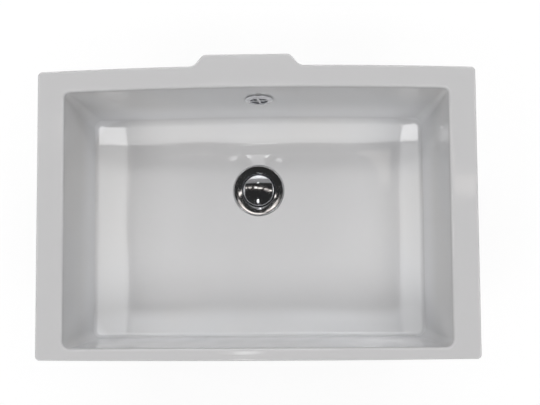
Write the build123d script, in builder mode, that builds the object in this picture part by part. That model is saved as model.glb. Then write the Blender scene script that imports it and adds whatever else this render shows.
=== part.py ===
from build123d import *
import math
import os

# A rectangular undercounter washbasin with its overflow and its push-open waste.
# Millimetres. X runs to the right, Y to the back and Z up.
# The origin is on the rim's top plane, in the middle of the rim's rectangle.

# Rim
rim_width = 510.0
rim_depth = 341.6
rim_thickness = 14.0
rim_corner = 5.0
rim_edge = 1.5
back_bow = 5.3
front_bow = 1.3
flange_side = 31.4
flange_back = 25.9
flange_front = 14.7
lip_radius = 3.0

# Swelling of the back rim over the overflow duct
swell_x = -10.3
swell_height = 13.1
swell_mid_width = 112.7
swell_slope_run = 11.0
swell_foot_radius = 12.0
swell_top_radius = 8.0

# Bowl, measured on its glazed inside
bowl_depth = 137.0
floor_fall = 3.0
wall_lean_side = 14.0
wall_lean_back = 16.0
wall_lean_front = 3.5
ramp_side = 37.0
ramp_end = 33.0
ramp_rise = 9.5
knee_radius = 9.0
knee_turn = 73.0
corner_top_back = 5.5
corner_top_front = 8.0
corner_foot = 11.0
corner_knee = 13.0
corner_floor = 9.0
shell_side = 50.0
shell_end = 43.0
shell_corner = 36.0
opening_bow = 4.1
wall_thickness = 10.0
floor_thickness = 12.0

# Overflow duct in the basin
duct_wall = 8.0
duct_foot_width = 66.0
duct_height = 17.0
duct_corner = 6.0
duct_foot_corner = 4.8

# Waste hole and its boss
waste_x = -2.5
waste_y = 36.0
recess_radius = 33.0
recess_land = 1.5
recess_round = 0.8
recess_land_play = 0.5
recess_depth = 4.5
hole_radius = 23.0
boss_radius = 42.0
boss_floor = 18.0
boss_round = 3.0
chamber_radius = 28.0

# Waste body
waste_flange_radius = 32.25
waste_lip = 1.8
waste_thread_radius = 20.95
waste_bore_radius = 17.5
neck_height = 9.0
neck_clearance = 0.3
waste_length = 85.0
dish_radius = 22.0
dish_rise = 1.0
throat_depth = 7.0
window_width = 18.0
window_count = 4
window_clearance = 1.0
tail_chamfer = 1.0
relief_gap = 0.8
relief_width = 1.5
relief_depth = 1.0
flange_round = 0.5
dish_hollow = 0.1
cut_margin = 1.0
joint_overlap = 0.5
spider_count = 3
spider_width = 4.0
spider_height = 6.0
hub_radius = 8.0

# Seals and nut under the basin
gasket_clearance = 0.1
gasket_thickness = 2.0
seal_radius = 31.5
cone_washer_height = 7.0
cone_washer_spigot = 4.0
cone_washer_clearance = 0.3
cone_washer_step = 0.8
slip_washer_thickness = 1.5
nut_height = 12.0
nut_flats = 56.0
nut_collar_height = 3.0
nut_collar_radius = 30.5

# Plug
plug_radius = 19.7
plug_crown = 1.8
plug_rise = 3.4
plug_edge = 0.7
plug_plate = 3.5
plug_seal_inner = 12.0
plug_seal_fit = 0.3
plug_seal_height = 3.0
plug_seal_taper = 0.6
plug_lip_height = 1.2
plug_lip_reach = 1.5
plug_boss_radius = 6.5
plug_boss_length = 2.6
plug_travel = 8.0

# Push cartridge
stem_radius = 3.5
stem_fit = 0.08
part_gap = 0.05
cartridge_radius = 9.6
cartridge_bore = 8.05
cartridge_top_gap = 1.7
cartridge_top_wall = 2.5
stem_seal_wire = 0.85
sleeve_bore = 6.2
groove_radius = 7.4
groove_width = 3.0
groove_count = 4
plunger_radius = 5.9
plunger_height = 5.0
key_radius = 7.1
key_width = 2.4
plunger_gap = 1.0
tooth_count = 8
tooth_height = 1.0
tooth_gap = 0.3
tooth_slot_width = 1.9
rotor_height = 5.0
spigot_radius = 2.2
spigot_snap_radius = 3.0
spigot_snap_height = 1.2
spring_turns = 4
spring_radius = 4.9
spring_wire = 0.55
spring_height = 7.1
base_flange_height = 3.0
base_boss_height = 1.0
stud_radius = 5.0
hub_nut_flats = 17.0
hub_nut_height = 4.0
stud_overhang = 0.5

# Overflow fitting
overflow_x = 2.5
overflow_depth = 44.0
seat_gap = 0.05
rose_radius = 17.0
rose_opening = 10.5
rose_thickness = 2.6
rose_edge = 0.9
rose_lip_width = 1.2
rose_lip_drop = 0.8
rose_tube_radius = 11.4
rose_tube_length = 8.0
rose_bar_width = 2.4
rose_bar_depth = 1.6
rose_bar_turn = 8.0
bush_radius = 12.4
bush_barb = 0.9
bush_barb_width = 2.5
bush_clearance = 0.3
overflow_gasket_thickness = 1.0
overflow_gasket_radius = 15.0
overflow_hole_radius = 12.5

# Places that follow from the sizes above
half_width = rim_width / 2
half_depth = rim_depth / 2
opening_side = half_width - flange_side
opening_back = half_depth - flange_back
opening_front = -half_depth + flange_front
knee_rise = knee_radius * math.sin(math.radians(knee_turn))
wall_depth = bowl_depth - ramp_rise - knee_rise
floor_z = -(bowl_depth + floor_fall)
recess_z = floor_z - recess_depth
underside_z = -(bowl_depth + floor_thickness)
duct_floor_z = underside_z - duct_height
boss_z = duct_floor_z - boss_floor
flange_z = recess_z + gasket_thickness
tail_z = floor_z - waste_length
swell_back = half_depth + swell_height

os.makedirs("parts", exist_ok=True)


def at_waste(height):
    """A level plane on the waste's axis."""
    return Plane((waste_x, waste_y, height))


def waste_section():
    """The upright plane through the waste's axis, on which its round parts are drawn."""
    return Plane(origin=(waste_x, waste_y, 0), x_dir=(1, 0, 0), z_dir=(0, -1, 0))


def bowl_level(depth, side_inset, end_inset, back_corner, front_corner):
    """One level outline of the bowl, drawn in from its leaning walls by an inset."""
    lean = min(depth / wall_depth, 1.0)
    side = opening_side - wall_lean_side * lean - side_inset
    back = opening_back - wall_lean_back * lean - end_inset
    front = opening_front + wall_lean_front * lean + end_inset
    bow = opening_bow * (side / opening_side) ** 2
    return rounded_outline(depth, -side, side, front, back, back_corner, front_corner, bow)


def rounded_outline(depth, left, right, front, back, back_corner, front_corner, bow):
    """A rounded rectangle with a bowed back, level with a depth under the rim."""
    with BuildSketch(Plane.XY.offset(-depth)) as level:
        with BuildLine():
            Line((left, back - bow), (left, front))
            Line((left, front), (right, front))
            Line((right, front), (right, back - bow))
            ThreePointArc((right, back - bow), ((left + right) / 2, back), (left, back - bow))
        make_face()
        fillet(level.vertices().group_by(Axis.Y)[-1], back_corner)
        fillet(level.vertices().group_by(Axis.Y)[0], front_corner)
    return level.sketch


def wall_levels(grow):
    """The outlines at the top and at the foot of the walls."""
    top = bowl_level(0.0, -grow, -grow, corner_top_back + grow, corner_top_front + grow)
    foot = bowl_level(wall_depth, -grow, -grow, corner_foot + grow, corner_foot + grow)
    return [top, foot]


def knee_levels(turns):
    """The outlines down the knee, a round at the foot of the walls."""
    full = 1.0 - math.cos(math.radians(knee_turn))
    levels = []
    for turn in turns:
        share = 1.0 - math.cos(math.radians(turn))
        depth = wall_depth + knee_radius * math.sin(math.radians(turn))
        corner = corner_foot + (corner_knee - corner_foot) * share / full
        levels.append(bowl_level(depth, knee_radius * share, knee_radius * share, corner, corner))
    return levels


def shell_levels(turns):
    """The outlines down the outside of the cove, a quarter ellipse."""
    foot = corner_foot + wall_thickness
    levels = []
    for turn in turns:
        run = 1.0 - math.cos(math.radians(turn))
        depth = wall_depth + shell_rise * math.sin(math.radians(turn))
        side_inset = (shell_side + wall_thickness) * run - wall_thickness
        end_inset = (shell_end + wall_thickness) * run - wall_thickness
        corner = foot + (shell_corner - foot) * run
        levels.append(bowl_level(depth, side_inset, end_inset, corner, corner))
    return levels


def round_body(points, plane):
    """A solid turned from a closed outline of radius and height."""
    with BuildPart() as turned:
        with BuildSketch(plane):
            with BuildLine():
                Polyline(*points, close=True)
            make_face()
        revolve(axis=Axis(plane.origin, plane.y_dir))
    return turned.part


# Inside of the bowl: leaning walls, a knee, a ramp and a floor that falls to the waste
knee_turns = (0, 12, 24, 36, 48, 60, knee_turn)
ramp_top = knee_levels(knee_turns[-1:])[0]
ramp_foot = bowl_level(bowl_depth, ramp_side, ramp_end, corner_floor, corner_floor)
land_radius = recess_radius + recess_land
land_corner = land_radius - recess_land_play
floor_end = rounded_outline(
    -floor_z,
    waste_x - land_radius,
    waste_x + land_radius,
    waste_y - land_radius,
    waste_y + land_radius,
    land_corner,
    land_corner,
    opening_bow * (land_radius / opening_side) ** 2,
)
with BuildPart() as bowl_space:
    loft(wall_levels(0.0), ruled=True)
    loft(knee_levels(knee_turns))
    loft([ramp_top, ramp_foot], ruled=True)
    loft([ramp_foot, floor_end], ruled=True)

# Outside of the bowl
shell_rise = knee_rise + ramp_rise + floor_thickness
shell_turns = (0, 15, 30, 45, 60, 75, 90)
with BuildPart() as bowl_shell:
    loft(wall_levels(wall_thickness), ruled=True)
    loft(shell_levels(shell_turns))

# Rim outline with the swelling over the overflow duct
swell_left_foot = swell_x - swell_mid_width / 2 - swell_slope_run / 2
swell_right_foot = swell_x + swell_mid_width / 2 + swell_slope_run / 2
swell_left_top = swell_left_foot + swell_slope_run
swell_right_top = swell_right_foot - swell_slope_run


def back_edge(x):
    """The bowed back edge of the rim at a place along it."""
    return half_depth - back_bow * (x / half_width) ** 2


with BuildSketch() as rim_outline:
    with BuildLine():
        ThreePointArc(
            (-half_width, front_bow - half_depth),
            (0, -half_depth),
            (half_width, front_bow - half_depth),
        )
        Line((half_width, front_bow - half_depth), (half_width, back_edge(half_width)))
        right_middle = (half_width + swell_right_foot) / 2
        ThreePointArc(
            (half_width, back_edge(half_width)),
            (right_middle, back_edge(right_middle)),
            (swell_right_foot, back_edge(swell_right_foot)),
        )
        Line((swell_right_foot, back_edge(swell_right_foot)), (swell_right_top, swell_back))
        Line((swell_right_top, swell_back), (swell_left_top, swell_back))
        Line((swell_left_top, swell_back), (swell_left_foot, back_edge(swell_left_foot)))
        left_middle = (-half_width + swell_left_foot) / 2
        ThreePointArc(
            (swell_left_foot, back_edge(swell_left_foot)),
            (left_middle, back_edge(left_middle)),
            (-half_width, back_edge(half_width)),
        )
        Line((-half_width, back_edge(half_width)), (-half_width, front_bow - half_depth))
    make_face()

# Outside and hollow of the overflow duct: down the back, then forward to the waste
duct_top_width = swell_mid_width - swell_slope_run
duct_back_foot = opening_back - wall_lean_back + wall_thickness + duct_height + duct_wall
duct_front = waste_y


def duct_level(height, middle, width, back, inset):
    """A level outline of the duct's upright part."""
    with BuildSketch(Plane.XY.offset(height)) as level:
        with BuildLine():
            Polyline(
                (middle - width / 2 + inset, duct_front),
                (middle + width / 2 - inset, duct_front),
                (middle + width / 2 - inset, back - inset),
                (middle - width / 2 + inset, back - inset),
                close=True,
            )
        make_face()
        fillet(level.vertices().group_by(Axis.Y)[-1], duct_corner)
    return level.sketch


def duct(inset, top_z, foot_z):
    """The duct as a solid, drawn in from its outside by an inset."""
    with BuildPart() as solid:
        loft(
            [
                duct_level(top_z, swell_x, duct_top_width, swell_back, inset),
                duct_level(foot_z, waste_x, duct_foot_width, duct_back_foot, inset),
            ],
            ruled=True,
        )
        fillet(solid.faces().sort_by(Axis.Z)[0].edges(), duct_foot_corner)
    return solid.part


duct_outside = duct(0.0, -rim_thickness / 2, duct_floor_z - duct_wall)
duct_hollow = duct(duct_wall, -rim_thickness - lip_radius, duct_floor_z)

# Plane of the overflow hole, on the leaning back wall
back_lean = math.degrees(math.atan(wall_lean_back / wall_depth))
overflow_y = opening_back - wall_lean_back * overflow_depth / wall_depth - seat_gap
overflow_plane = Plane(
    origin=(overflow_x, overflow_y, -overflow_depth),
    x_dir=(1, 0, 0),
    z_dir=(0, -math.cos(math.radians(back_lean)), math.sin(math.radians(back_lean))),
)


def is_rim_corner(edge):
    """Whether an upright edge is one of the rim's four corners."""
    return abs(abs(edge.center().X) - half_width) < part_gap


def is_swell_top(edge):
    """Whether an upright edge is a corner at the back of the swelling."""
    return abs(edge.center().Y - swell_back) < part_gap


def is_recess_rim(edge):
    """Whether an edge is the circle where the floor meets the waste recess."""
    level = abs(edge.center().Z - floor_z) < seat_gap
    return level and edge.geom_type == GeomType.CIRCLE and abs(edge.radius - recess_radius) < seat_gap


# Basin
with BuildPart() as duct_space:
    add(duct_hollow)
    add(bowl_shell.part, mode=Mode.SUBTRACT)
    with BuildSketch(at_waste(duct_floor_z)):
        Circle(chamber_radius)
    extrude(amount=duct_height)

with BuildPart() as basin:
    with BuildSketch(Plane.XY.offset(-rim_thickness)):
        add(rim_outline.sketch)
    extrude(amount=rim_thickness)
    uprights = basin.edges().filter_by(Axis.Z)
    corners = uprights.filter_by(is_rim_corner)
    tops = uprights.filter_by(is_swell_top)
    feet = [edge for edge in uprights if edge not in corners and edge not in tops]
    fillet(corners, rim_corner)
    fillet(tops, swell_top_radius)
    fillet(feet, swell_foot_radius)
    rim_edges = basin.faces().sort_by(Axis.Z)[-1].edges()
    fillet(rim_edges, rim_edge)
    add(bowl_shell.part)
    add(duct_outside)
    with BuildSketch(at_waste(underside_z)):
        Circle(boss_radius)
    extrude(amount=boss_z - underside_z)
    boss_edge = basin.faces().sort_by(Axis.Z)[0].edges()
    fillet(boss_edge, boss_round)
    add(bowl_space.part, mode=Mode.SUBTRACT)
    lip = basin.faces().filter_by(Axis.Z).sort_by(Axis.Z)[-1].inner_wires()[0]
    fillet(lip.edges(), lip_radius)
    add(duct_space.part, mode=Mode.SUBTRACT)
    with BuildSketch(at_waste(recess_z)):
        Circle(recess_radius)
    extrude(amount=recess_depth + floor_fall, mode=Mode.SUBTRACT)
    recess_rim = basin.edges().filter_by(is_recess_rim)
    fillet(recess_rim, recess_round)
    with BuildSketch(at_waste(boss_z)):
        Circle(hole_radius)
    extrude(amount=recess_z - boss_z + recess_depth, mode=Mode.SUBTRACT)
    with BuildSketch(overflow_plane.offset(-wall_thickness - duct_wall / 2)):
        Circle(overflow_hole_radius)
    extrude(amount=wall_thickness + duct_wall, mode=Mode.SUBTRACT)
basin.part.label = "basin"
export_step(basin.part, "parts/basin.step")

# Heights of the plug, from its crown down
crown_z = floor_z + plug_rise
edge_z = crown_z - plug_crown
plate_z = edge_z - plug_plate
seal_foot = plate_z - plug_seal_height
lip_foot = seal_foot - plug_lip_height
boss_foot = lip_foot - plug_boss_length
crown_radius = (plug_radius**2 + plug_crown**2) / (2 * plug_crown)
crown_half_z = crown_z - crown_radius + math.sqrt(crown_radius**2 - plug_radius**2 / 4)

# Cartridge heights, from the plug's shank down
cartridge_top = boss_foot - cartridge_top_gap
cartridge_roof = cartridge_top - cartridge_top_wall
plunger_top = cartridge_roof - plunger_gap - plug_travel
plunger_foot = plunger_top - plunger_height
rotor_top = plunger_foot - tooth_gap
rotor_foot = rotor_top - rotor_height
snap_top = rotor_foot - tooth_gap
snap_foot = snap_top - spigot_snap_height
spring_top = rotor_foot - part_gap
base_top = spring_top - spring_height
base_plate = base_top - base_boss_height
base_foot = base_plate - base_flange_height
spider_z = base_foot

# Heights of the washers and the nut under the basin
cone_foot = boss_z - cone_washer_height
slip_foot = cone_foot - slip_washer_thickness
nut_foot = slip_foot - nut_height

# Waste body: shallow dished flange, tube with overflow windows and the spider that holds the cartridge
flange_top = floor_z + waste_lip
window_top = underside_z - window_clearance
window_foot = duct_floor_z + window_clearance
neck_radius = hole_radius - neck_clearance
neck_step = neck_radius - waste_thread_radius
neck_z = floor_z - neck_height
relief_top = nut_foot - relief_gap
relief_foot = relief_top - relief_width
relief_radius = waste_thread_radius - relief_depth
flange_arc = flange_round * (1 - math.sqrt(0.5))
with BuildPart() as waste_body:
    with BuildSketch(waste_section()):
        with BuildLine():
            Line((waste_bore_radius, tail_z), (waste_thread_radius - tail_chamfer, tail_z))
            Line((waste_thread_radius - tail_chamfer, tail_z), (waste_thread_radius, tail_z + tail_chamfer))
            Line((waste_thread_radius, tail_z + tail_chamfer), (waste_thread_radius, relief_foot))
            Line((waste_thread_radius, relief_foot), (relief_radius, relief_foot))
            Line((relief_radius, relief_foot), (relief_radius, relief_top))
            Line((relief_radius, relief_top), (waste_thread_radius, relief_top))
            Line((waste_thread_radius, relief_top), (waste_thread_radius, neck_z))
            Line((waste_thread_radius, neck_z), (neck_radius, neck_z + neck_step))
            Line((neck_radius, neck_z + neck_step), (neck_radius, flange_z))
            Line((neck_radius, flange_z), (waste_flange_radius, flange_z))
            Line((waste_flange_radius, flange_z), (waste_flange_radius, flange_top - flange_round))
            flange_shoulder = (waste_flange_radius - flange_round, flange_top)
            ThreePointArc(
                (waste_flange_radius, flange_top - flange_round),
                (waste_flange_radius - flange_arc, flange_top - flange_arc),
                flange_shoulder,
            )
            dish_foot = (dish_radius, floor_z + dish_rise)
            dish_middle = (
                (flange_shoulder[0] + dish_radius) / 2,
                (flange_shoulder[1] + dish_foot[1]) / 2 - dish_hollow,
            )
            ThreePointArc(flange_shoulder, dish_middle, dish_foot)
            Line(dish_foot, (waste_bore_radius, floor_z - throat_depth))
            Line((waste_bore_radius, floor_z - throat_depth), (waste_bore_radius, tail_z))
        make_face()
    revolve(axis=Axis((waste_x, waste_y, 0), (0, 0, 1)))
    window_middle = (window_top + window_foot) / 2
    with Locations((waste_x, waste_y, window_middle)):
        with PolarLocations(0, window_count, start_angle=180 / window_count):
            Box(
                waste_thread_radius + cut_margin,
                window_width,
                window_top - window_foot,
                align=(Align.MIN, Align.CENTER, Align.CENTER),
                mode=Mode.SUBTRACT,
            )
    with BuildSketch(at_waste(spider_z)):
        Circle(hub_radius)
        with PolarLocations(0, spider_count, start_angle=90):
            Rectangle(waste_bore_radius + joint_overlap, spider_width, align=(Align.MIN, Align.CENTER))
        Circle(stud_radius + part_gap, mode=Mode.SUBTRACT)
    extrude(amount=-spider_height)
waste_body.part.label = "waste_body"
export_step(waste_body.part, "parts/waste_body.step")

# Soft gasket between the flange and the recess
seal_bore = waste_thread_radius + gasket_clearance
with BuildPart() as flange_gasket:
    with BuildSketch(at_waste(recess_z)):
        Circle(seal_radius)
        Circle(neck_radius + gasket_clearance, mode=Mode.SUBTRACT)
    extrude(amount=gasket_thickness)
flange_gasket.part.label = "flange_gasket"
export_step(flange_gasket.part, "parts/flange_gasket.step")

# Stepped rubber washer that fills the hole from below
spigot = hole_radius - cone_washer_clearance
with BuildPart() as cone_washer:
    add(
        round_body(
            [
                (seal_bore, cone_foot),
                (seal_radius, cone_foot),
                (seal_radius - cone_washer_step, boss_z),
                (spigot, boss_z),
                (spigot - cone_washer_step / 2, boss_z + cone_washer_spigot),
                (seal_bore, boss_z + cone_washer_spigot),
            ],
            waste_section(),
        )
    )
cone_washer.part.label = "cone_washer"
export_step(cone_washer.part, "parts/cone_washer.step")

# Thin plastic washer that lets the nut slip on the rubber
with BuildPart() as slip_washer:
    with BuildSketch(at_waste(slip_foot)):
        Circle(seal_radius)
        Circle(seal_bore, mode=Mode.SUBTRACT)
    extrude(amount=slip_washer_thickness)
slip_washer.part.label = "slip_washer"
export_step(slip_washer.part, "parts/slip_washer.step")

# Hexagon nut with a collar, which clamps the waste to the basin
with BuildPart() as lock_nut:
    with BuildSketch(at_waste(nut_foot)):
        RegularPolygon(nut_flats / 2, 6, major_radius=False)
    extrude(amount=nut_height)
    with BuildSketch(at_waste(slip_foot - nut_collar_height)):
        Circle(nut_collar_radius)
    extrude(amount=nut_collar_height)
    with BuildSketch(at_waste(nut_foot)):
        Circle(seal_bore)
    extrude(amount=nut_height, mode=Mode.SUBTRACT)
    bore_edges = lock_nut.edges().filter_by(GeomType.CIRCLE).sort_by(Axis.Z)[0]
    chamfer(bore_edges, tail_chamfer)
lock_nut.part.label = "lock_nut"
export_step(lock_nut.part, "parts/lock_nut.step")

# Plug cap: a low dome on a plate, with the shank that the seal snaps on
with BuildPart() as plug_cap:
    with BuildSketch(waste_section()):
        with BuildLine():
            Line((0, boss_foot), (plug_boss_radius, boss_foot))
            Line((plug_boss_radius, boss_foot), (plug_boss_radius, lip_foot))
            Line((plug_boss_radius, lip_foot), (plug_seal_inner + plug_lip_reach, lip_foot))
            Line((plug_seal_inner + plug_lip_reach, lip_foot), (plug_seal_inner + plug_lip_reach, seal_foot))
            Line((plug_seal_inner + plug_lip_reach, seal_foot), (plug_seal_inner, seal_foot))
            Line((plug_seal_inner, seal_foot), (plug_seal_inner, plate_z))
            Line((plug_seal_inner, plate_z), (plug_radius, plate_z))
            Line((plug_radius, plate_z), (plug_radius, edge_z))
            ThreePointArc((plug_radius, edge_z), (plug_radius / 2, crown_half_z), (0, crown_z))
            Line((0, crown_z), (0, boss_foot))
        make_face()
    revolve(axis=Axis((waste_x, waste_y, 0), (0, 0, 1)))
    rims = plug_cap.edges().filter_by(GeomType.CIRCLE).sort_by(SortBy.RADIUS)[-2:]
    fillet(rims, plug_edge)
    with BuildSketch(at_waste(boss_foot)):
        Circle(stem_radius + part_gap)
    extrude(amount=plate_z - boss_foot, mode=Mode.SUBTRACT)
plug_cap.part.label = "plug_cap"
export_step(plug_cap.part, "parts/plug_cap.step")

# Rubber ring that closes the throat, clear of its cone by the seal's fit
throat_slope = (dish_radius - waste_bore_radius) / (throat_depth + dish_rise)
throat_at_seal = waste_bore_radius + throat_slope * (seal_foot - floor_z + throat_depth)
seal_foot_radius = throat_at_seal - plug_seal_fit * math.hypot(1, throat_slope)
with BuildPart() as plug_seal:
    add(
        round_body(
            [
                (plug_seal_inner + part_gap, plate_z),
                (seal_foot_radius + plug_seal_taper, plate_z),
                (seal_foot_radius, seal_foot + part_gap),
                (plug_seal_inner + part_gap, seal_foot + part_gap),
            ],
            waste_section(),
        )
    )
plug_seal.part.label = "plug_seal"
export_step(plug_seal.part, "parts/plug_seal.step")


def saw_teeth(height, depth, turn):
    """Ratchet tooth gaps as wedges round the waste's axis, to cut into a face."""
    with BuildPart() as gaps:
        with PolarLocations(0, tooth_count, start_angle=turn):
            with BuildSketch(Plane.XY):
                Rectangle(plunger_radius + cut_margin, tooth_slot_width, align=(Align.MIN, Align.CENTER))
        extrude(amount=depth)
    return gaps.part.moved(Location((waste_x, waste_y, height)))


# Stem: threaded top, plunger with its guide keys and the spigot that carries the rotor
with BuildPart() as plug_stem:
    with BuildSketch(at_waste(plunger_foot)):
        Circle(plunger_radius)
        with PolarLocations(0, groove_count):
            Rectangle(key_radius, key_width, align=(Align.MIN, Align.CENTER))
    extrude(amount=plunger_height)
    with BuildSketch(at_waste(plunger_top)):
        Circle(stem_radius)
    extrude(amount=plate_z - part_gap - plunger_top)
    add(saw_teeth(plunger_foot, tooth_height, 0), mode=Mode.SUBTRACT)
    with BuildSketch(at_waste(snap_foot)):
        Circle(spigot_radius)
    extrude(amount=plunger_foot + tooth_height + joint_overlap - snap_foot)
    with BuildSketch(at_waste(snap_foot)):
        Circle(spigot_snap_radius)
    extrude(amount=spigot_snap_height)
plug_stem.part.label = "plug_stem"
export_step(plug_stem.part, "parts/plug_stem.step")

# Rotor of the ratchet, which turns on the spigot
with BuildPart() as ratchet_rotor:
    with BuildSketch(at_waste(rotor_foot)):
        Circle(plunger_radius)
        Circle(spigot_radius + stem_fit, mode=Mode.SUBTRACT)
    extrude(amount=rotor_height)
    add(saw_teeth(rotor_top - tooth_height, tooth_height, 180 / tooth_count), mode=Mode.SUBTRACT)
ratchet_rotor.part.label = "ratchet_rotor"
export_step(ratchet_rotor.part, "parts/ratchet_rotor.step")

# Housing of the cartridge
with BuildPart() as cartridge_housing:
    with BuildSketch(at_waste(base_plate)):
        Circle(cartridge_radius)
    extrude(amount=cartridge_top - base_plate)
    with BuildSketch(at_waste(base_plate)):
        Circle(cartridge_bore)
    extrude(amount=cartridge_roof - base_plate, mode=Mode.SUBTRACT)
    with BuildSketch(at_waste(cartridge_roof)):
        Circle(stem_radius + stem_fit)
    extrude(amount=cartridge_top_wall, mode=Mode.SUBTRACT)
    with BuildSketch(at_waste(cartridge_top)):
        Circle(stem_radius + stem_fit + 2 * stem_seal_wire + part_gap)
    extrude(amount=-2 * stem_seal_wire, mode=Mode.SUBTRACT)
cartridge_housing.part.label = "cartridge_housing"
export_step(cartridge_housing.part, "parts/cartridge_housing.step")

# O-ring round the stem
stem_seal_z = cartridge_top - stem_seal_wire
with BuildPart() as stem_seal:
    with BuildSketch(waste_section()):
        with Locations((stem_radius + stem_fit + stem_seal_wire, stem_seal_z)):
            Circle(stem_seal_wire)
    revolve(axis=Axis((waste_x, waste_y, 0), (0, 0, 1)))
stem_seal.part.label = "stem_seal"
export_step(stem_seal.part, "parts/stem_seal.step")

# Guide sleeve with the grooves that the plunger's keys slide in
with BuildPart() as guide_sleeve:
    with BuildSketch(at_waste(base_top)):
        Circle(cartridge_bore - part_gap)
        Circle(sleeve_bore, mode=Mode.SUBTRACT)
        with PolarLocations(0, groove_count):
            Rectangle(groove_radius, groove_width, align=(Align.MIN, Align.CENTER), mode=Mode.SUBTRACT)
    extrude(amount=cartridge_roof - part_gap - base_top)
guide_sleeve.part.label = "guide_sleeve"
export_step(guide_sleeve.part, "parts/guide_sleeve.step")

# Base of the cartridge, with the stud through the spider's hub
stud_foot = spider_z - spider_height - hub_nut_height - stud_overhang
with BuildPart() as cartridge_base:
    with BuildSketch(at_waste(base_foot)):
        Circle(cartridge_radius)
    extrude(amount=base_flange_height)
    with BuildSketch(at_waste(base_plate)):
        Circle(cartridge_bore - part_gap)
    extrude(amount=base_boss_height)
    with BuildSketch(at_waste(stud_foot)):
        Circle(stud_radius)
    extrude(amount=base_foot - stud_foot)
cartridge_base.part.label = "cartridge_base"
export_step(cartridge_base.part, "parts/cartridge_base.step")

# Nut under the hub
with BuildPart() as hub_nut:
    with BuildSketch(at_waste(spider_z - spider_height)):
        RegularPolygon(hub_nut_flats / 2, 6, major_radius=False)
        Circle(stud_radius + part_gap, mode=Mode.SUBTRACT)
    extrude(amount=-hub_nut_height)
hub_nut.part.label = "hub_nut"
export_step(hub_nut.part, "parts/hub_nut.step")


def helix_point(angle):
    """A point of the spring's centre line."""
    rise = (spring_height - 2 * spring_wire) * angle / (2 * math.pi * spring_turns)
    return Vector(
        waste_x + spring_radius * math.cos(angle),
        waste_y + spring_radius * math.sin(angle),
        base_top + spring_wire + rise,
    )


def helix_direction(angle):
    """The direction of the spring's centre line."""
    climb = (spring_height - 2 * spring_wire) / (2 * math.pi * spring_turns * spring_radius)
    return Vector(-math.sin(angle), math.cos(angle), climb).normalized()


def arc_join(start, end, start_way, end_way):
    """The point where two arcs of one length of tangent meet between two points."""
    span = end - start
    ways = start_way + end_way
    spare = 2 * (1 - start_way.dot(end_way))
    along = span.dot(ways)
    reach = (math.sqrt(along * along + spare * span.dot(span)) - along) / spare
    return (start + end + (start_way - end_way) * reach) * 0.5


# Spring: one unbroken wire, a pair of arcs for each quarter turn
with BuildPart() as cartridge_spring:
    with BuildLine() as wire_line:
        step = math.pi / 2
        for quarter in range(4 * spring_turns):
            start = helix_point(quarter * step)
            end = helix_point((quarter + 1) * step)
            start_way = helix_direction(quarter * step)
            end_way = helix_direction((quarter + 1) * step)
            middle = arc_join(start, end, start_way, end_way)
            TangentArc(start, middle, tangent=start_way)
            TangentArc(end, middle, tangent=end_way * -1)
    with BuildSketch(Plane(origin=helix_point(0), z_dir=helix_direction(0))):
        Circle(spring_wire)
    sweep(path=wire_line.wires()[0])
cartridge_spring.part.label = "cartridge_spring"
export_step(cartridge_spring.part, "parts/cartridge_spring.step")

# Chrome rose of the overflow: a dished ring with a cross and a tube
rose_back = overflow_plane.offset(overflow_gasket_thickness)
with BuildPart() as overflow_rose:
    with BuildSketch(Plane(origin=rose_back.origin, x_dir=(1, 0, 0), z_dir=rose_back.y_dir * -1)):
        with BuildLine():
            Polyline(
                (rose_opening, -rose_tube_length),
                (rose_tube_radius, -rose_tube_length),
                (rose_tube_radius, 0),
                (rose_radius, 0),
                (rose_radius, rose_edge),
                (rose_opening + rose_lip_width, rose_thickness),
                (rose_opening, rose_thickness - rose_lip_drop),
                close=True,
            )
        make_face()
    revolve(axis=Axis(rose_back.origin, rose_back.z_dir))
    with BuildSketch(rose_back):
        with PolarLocations(0, 4, start_angle=90 + rose_bar_turn):
            Rectangle(rose_opening + joint_overlap, rose_bar_width, align=(Align.MIN, Align.CENTER))
    extrude(amount=rose_bar_depth)
overflow_rose.part.label = "overflow_rose"
export_step(overflow_rose.part, "parts/overflow_rose.step")

# Soft washer under the rose
with BuildPart() as overflow_gasket:
    with BuildSketch(overflow_plane):
        Circle(overflow_gasket_radius)
        Circle(rose_tube_radius + part_gap, mode=Mode.SUBTRACT)
    extrude(amount=overflow_gasket_thickness)
overflow_gasket.part.label = "overflow_gasket"
export_step(overflow_gasket.part, "parts/overflow_gasket.step")

# Split bush that grips the hole behind the wall
bush_length = wall_thickness + bush_barb_width
with BuildPart() as overflow_bush:
    with BuildSketch(overflow_plane):
        Circle(bush_radius)
    extrude(amount=-bush_length)
    with BuildSketch(overflow_plane.offset(-bush_length)):
        Circle(overflow_hole_radius + bush_barb)
    extrude(amount=bush_barb_width - bush_clearance)
    with BuildSketch(overflow_plane):
        Circle(rose_tube_radius + part_gap)
    extrude(amount=-bush_length, mode=Mode.SUBTRACT)
overflow_bush.part.label = "overflow_bush"
export_step(overflow_bush.part, "parts/overflow_bush.step")
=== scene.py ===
import logging
import math
from dataclasses import dataclass, field
from enum import Enum

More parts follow.
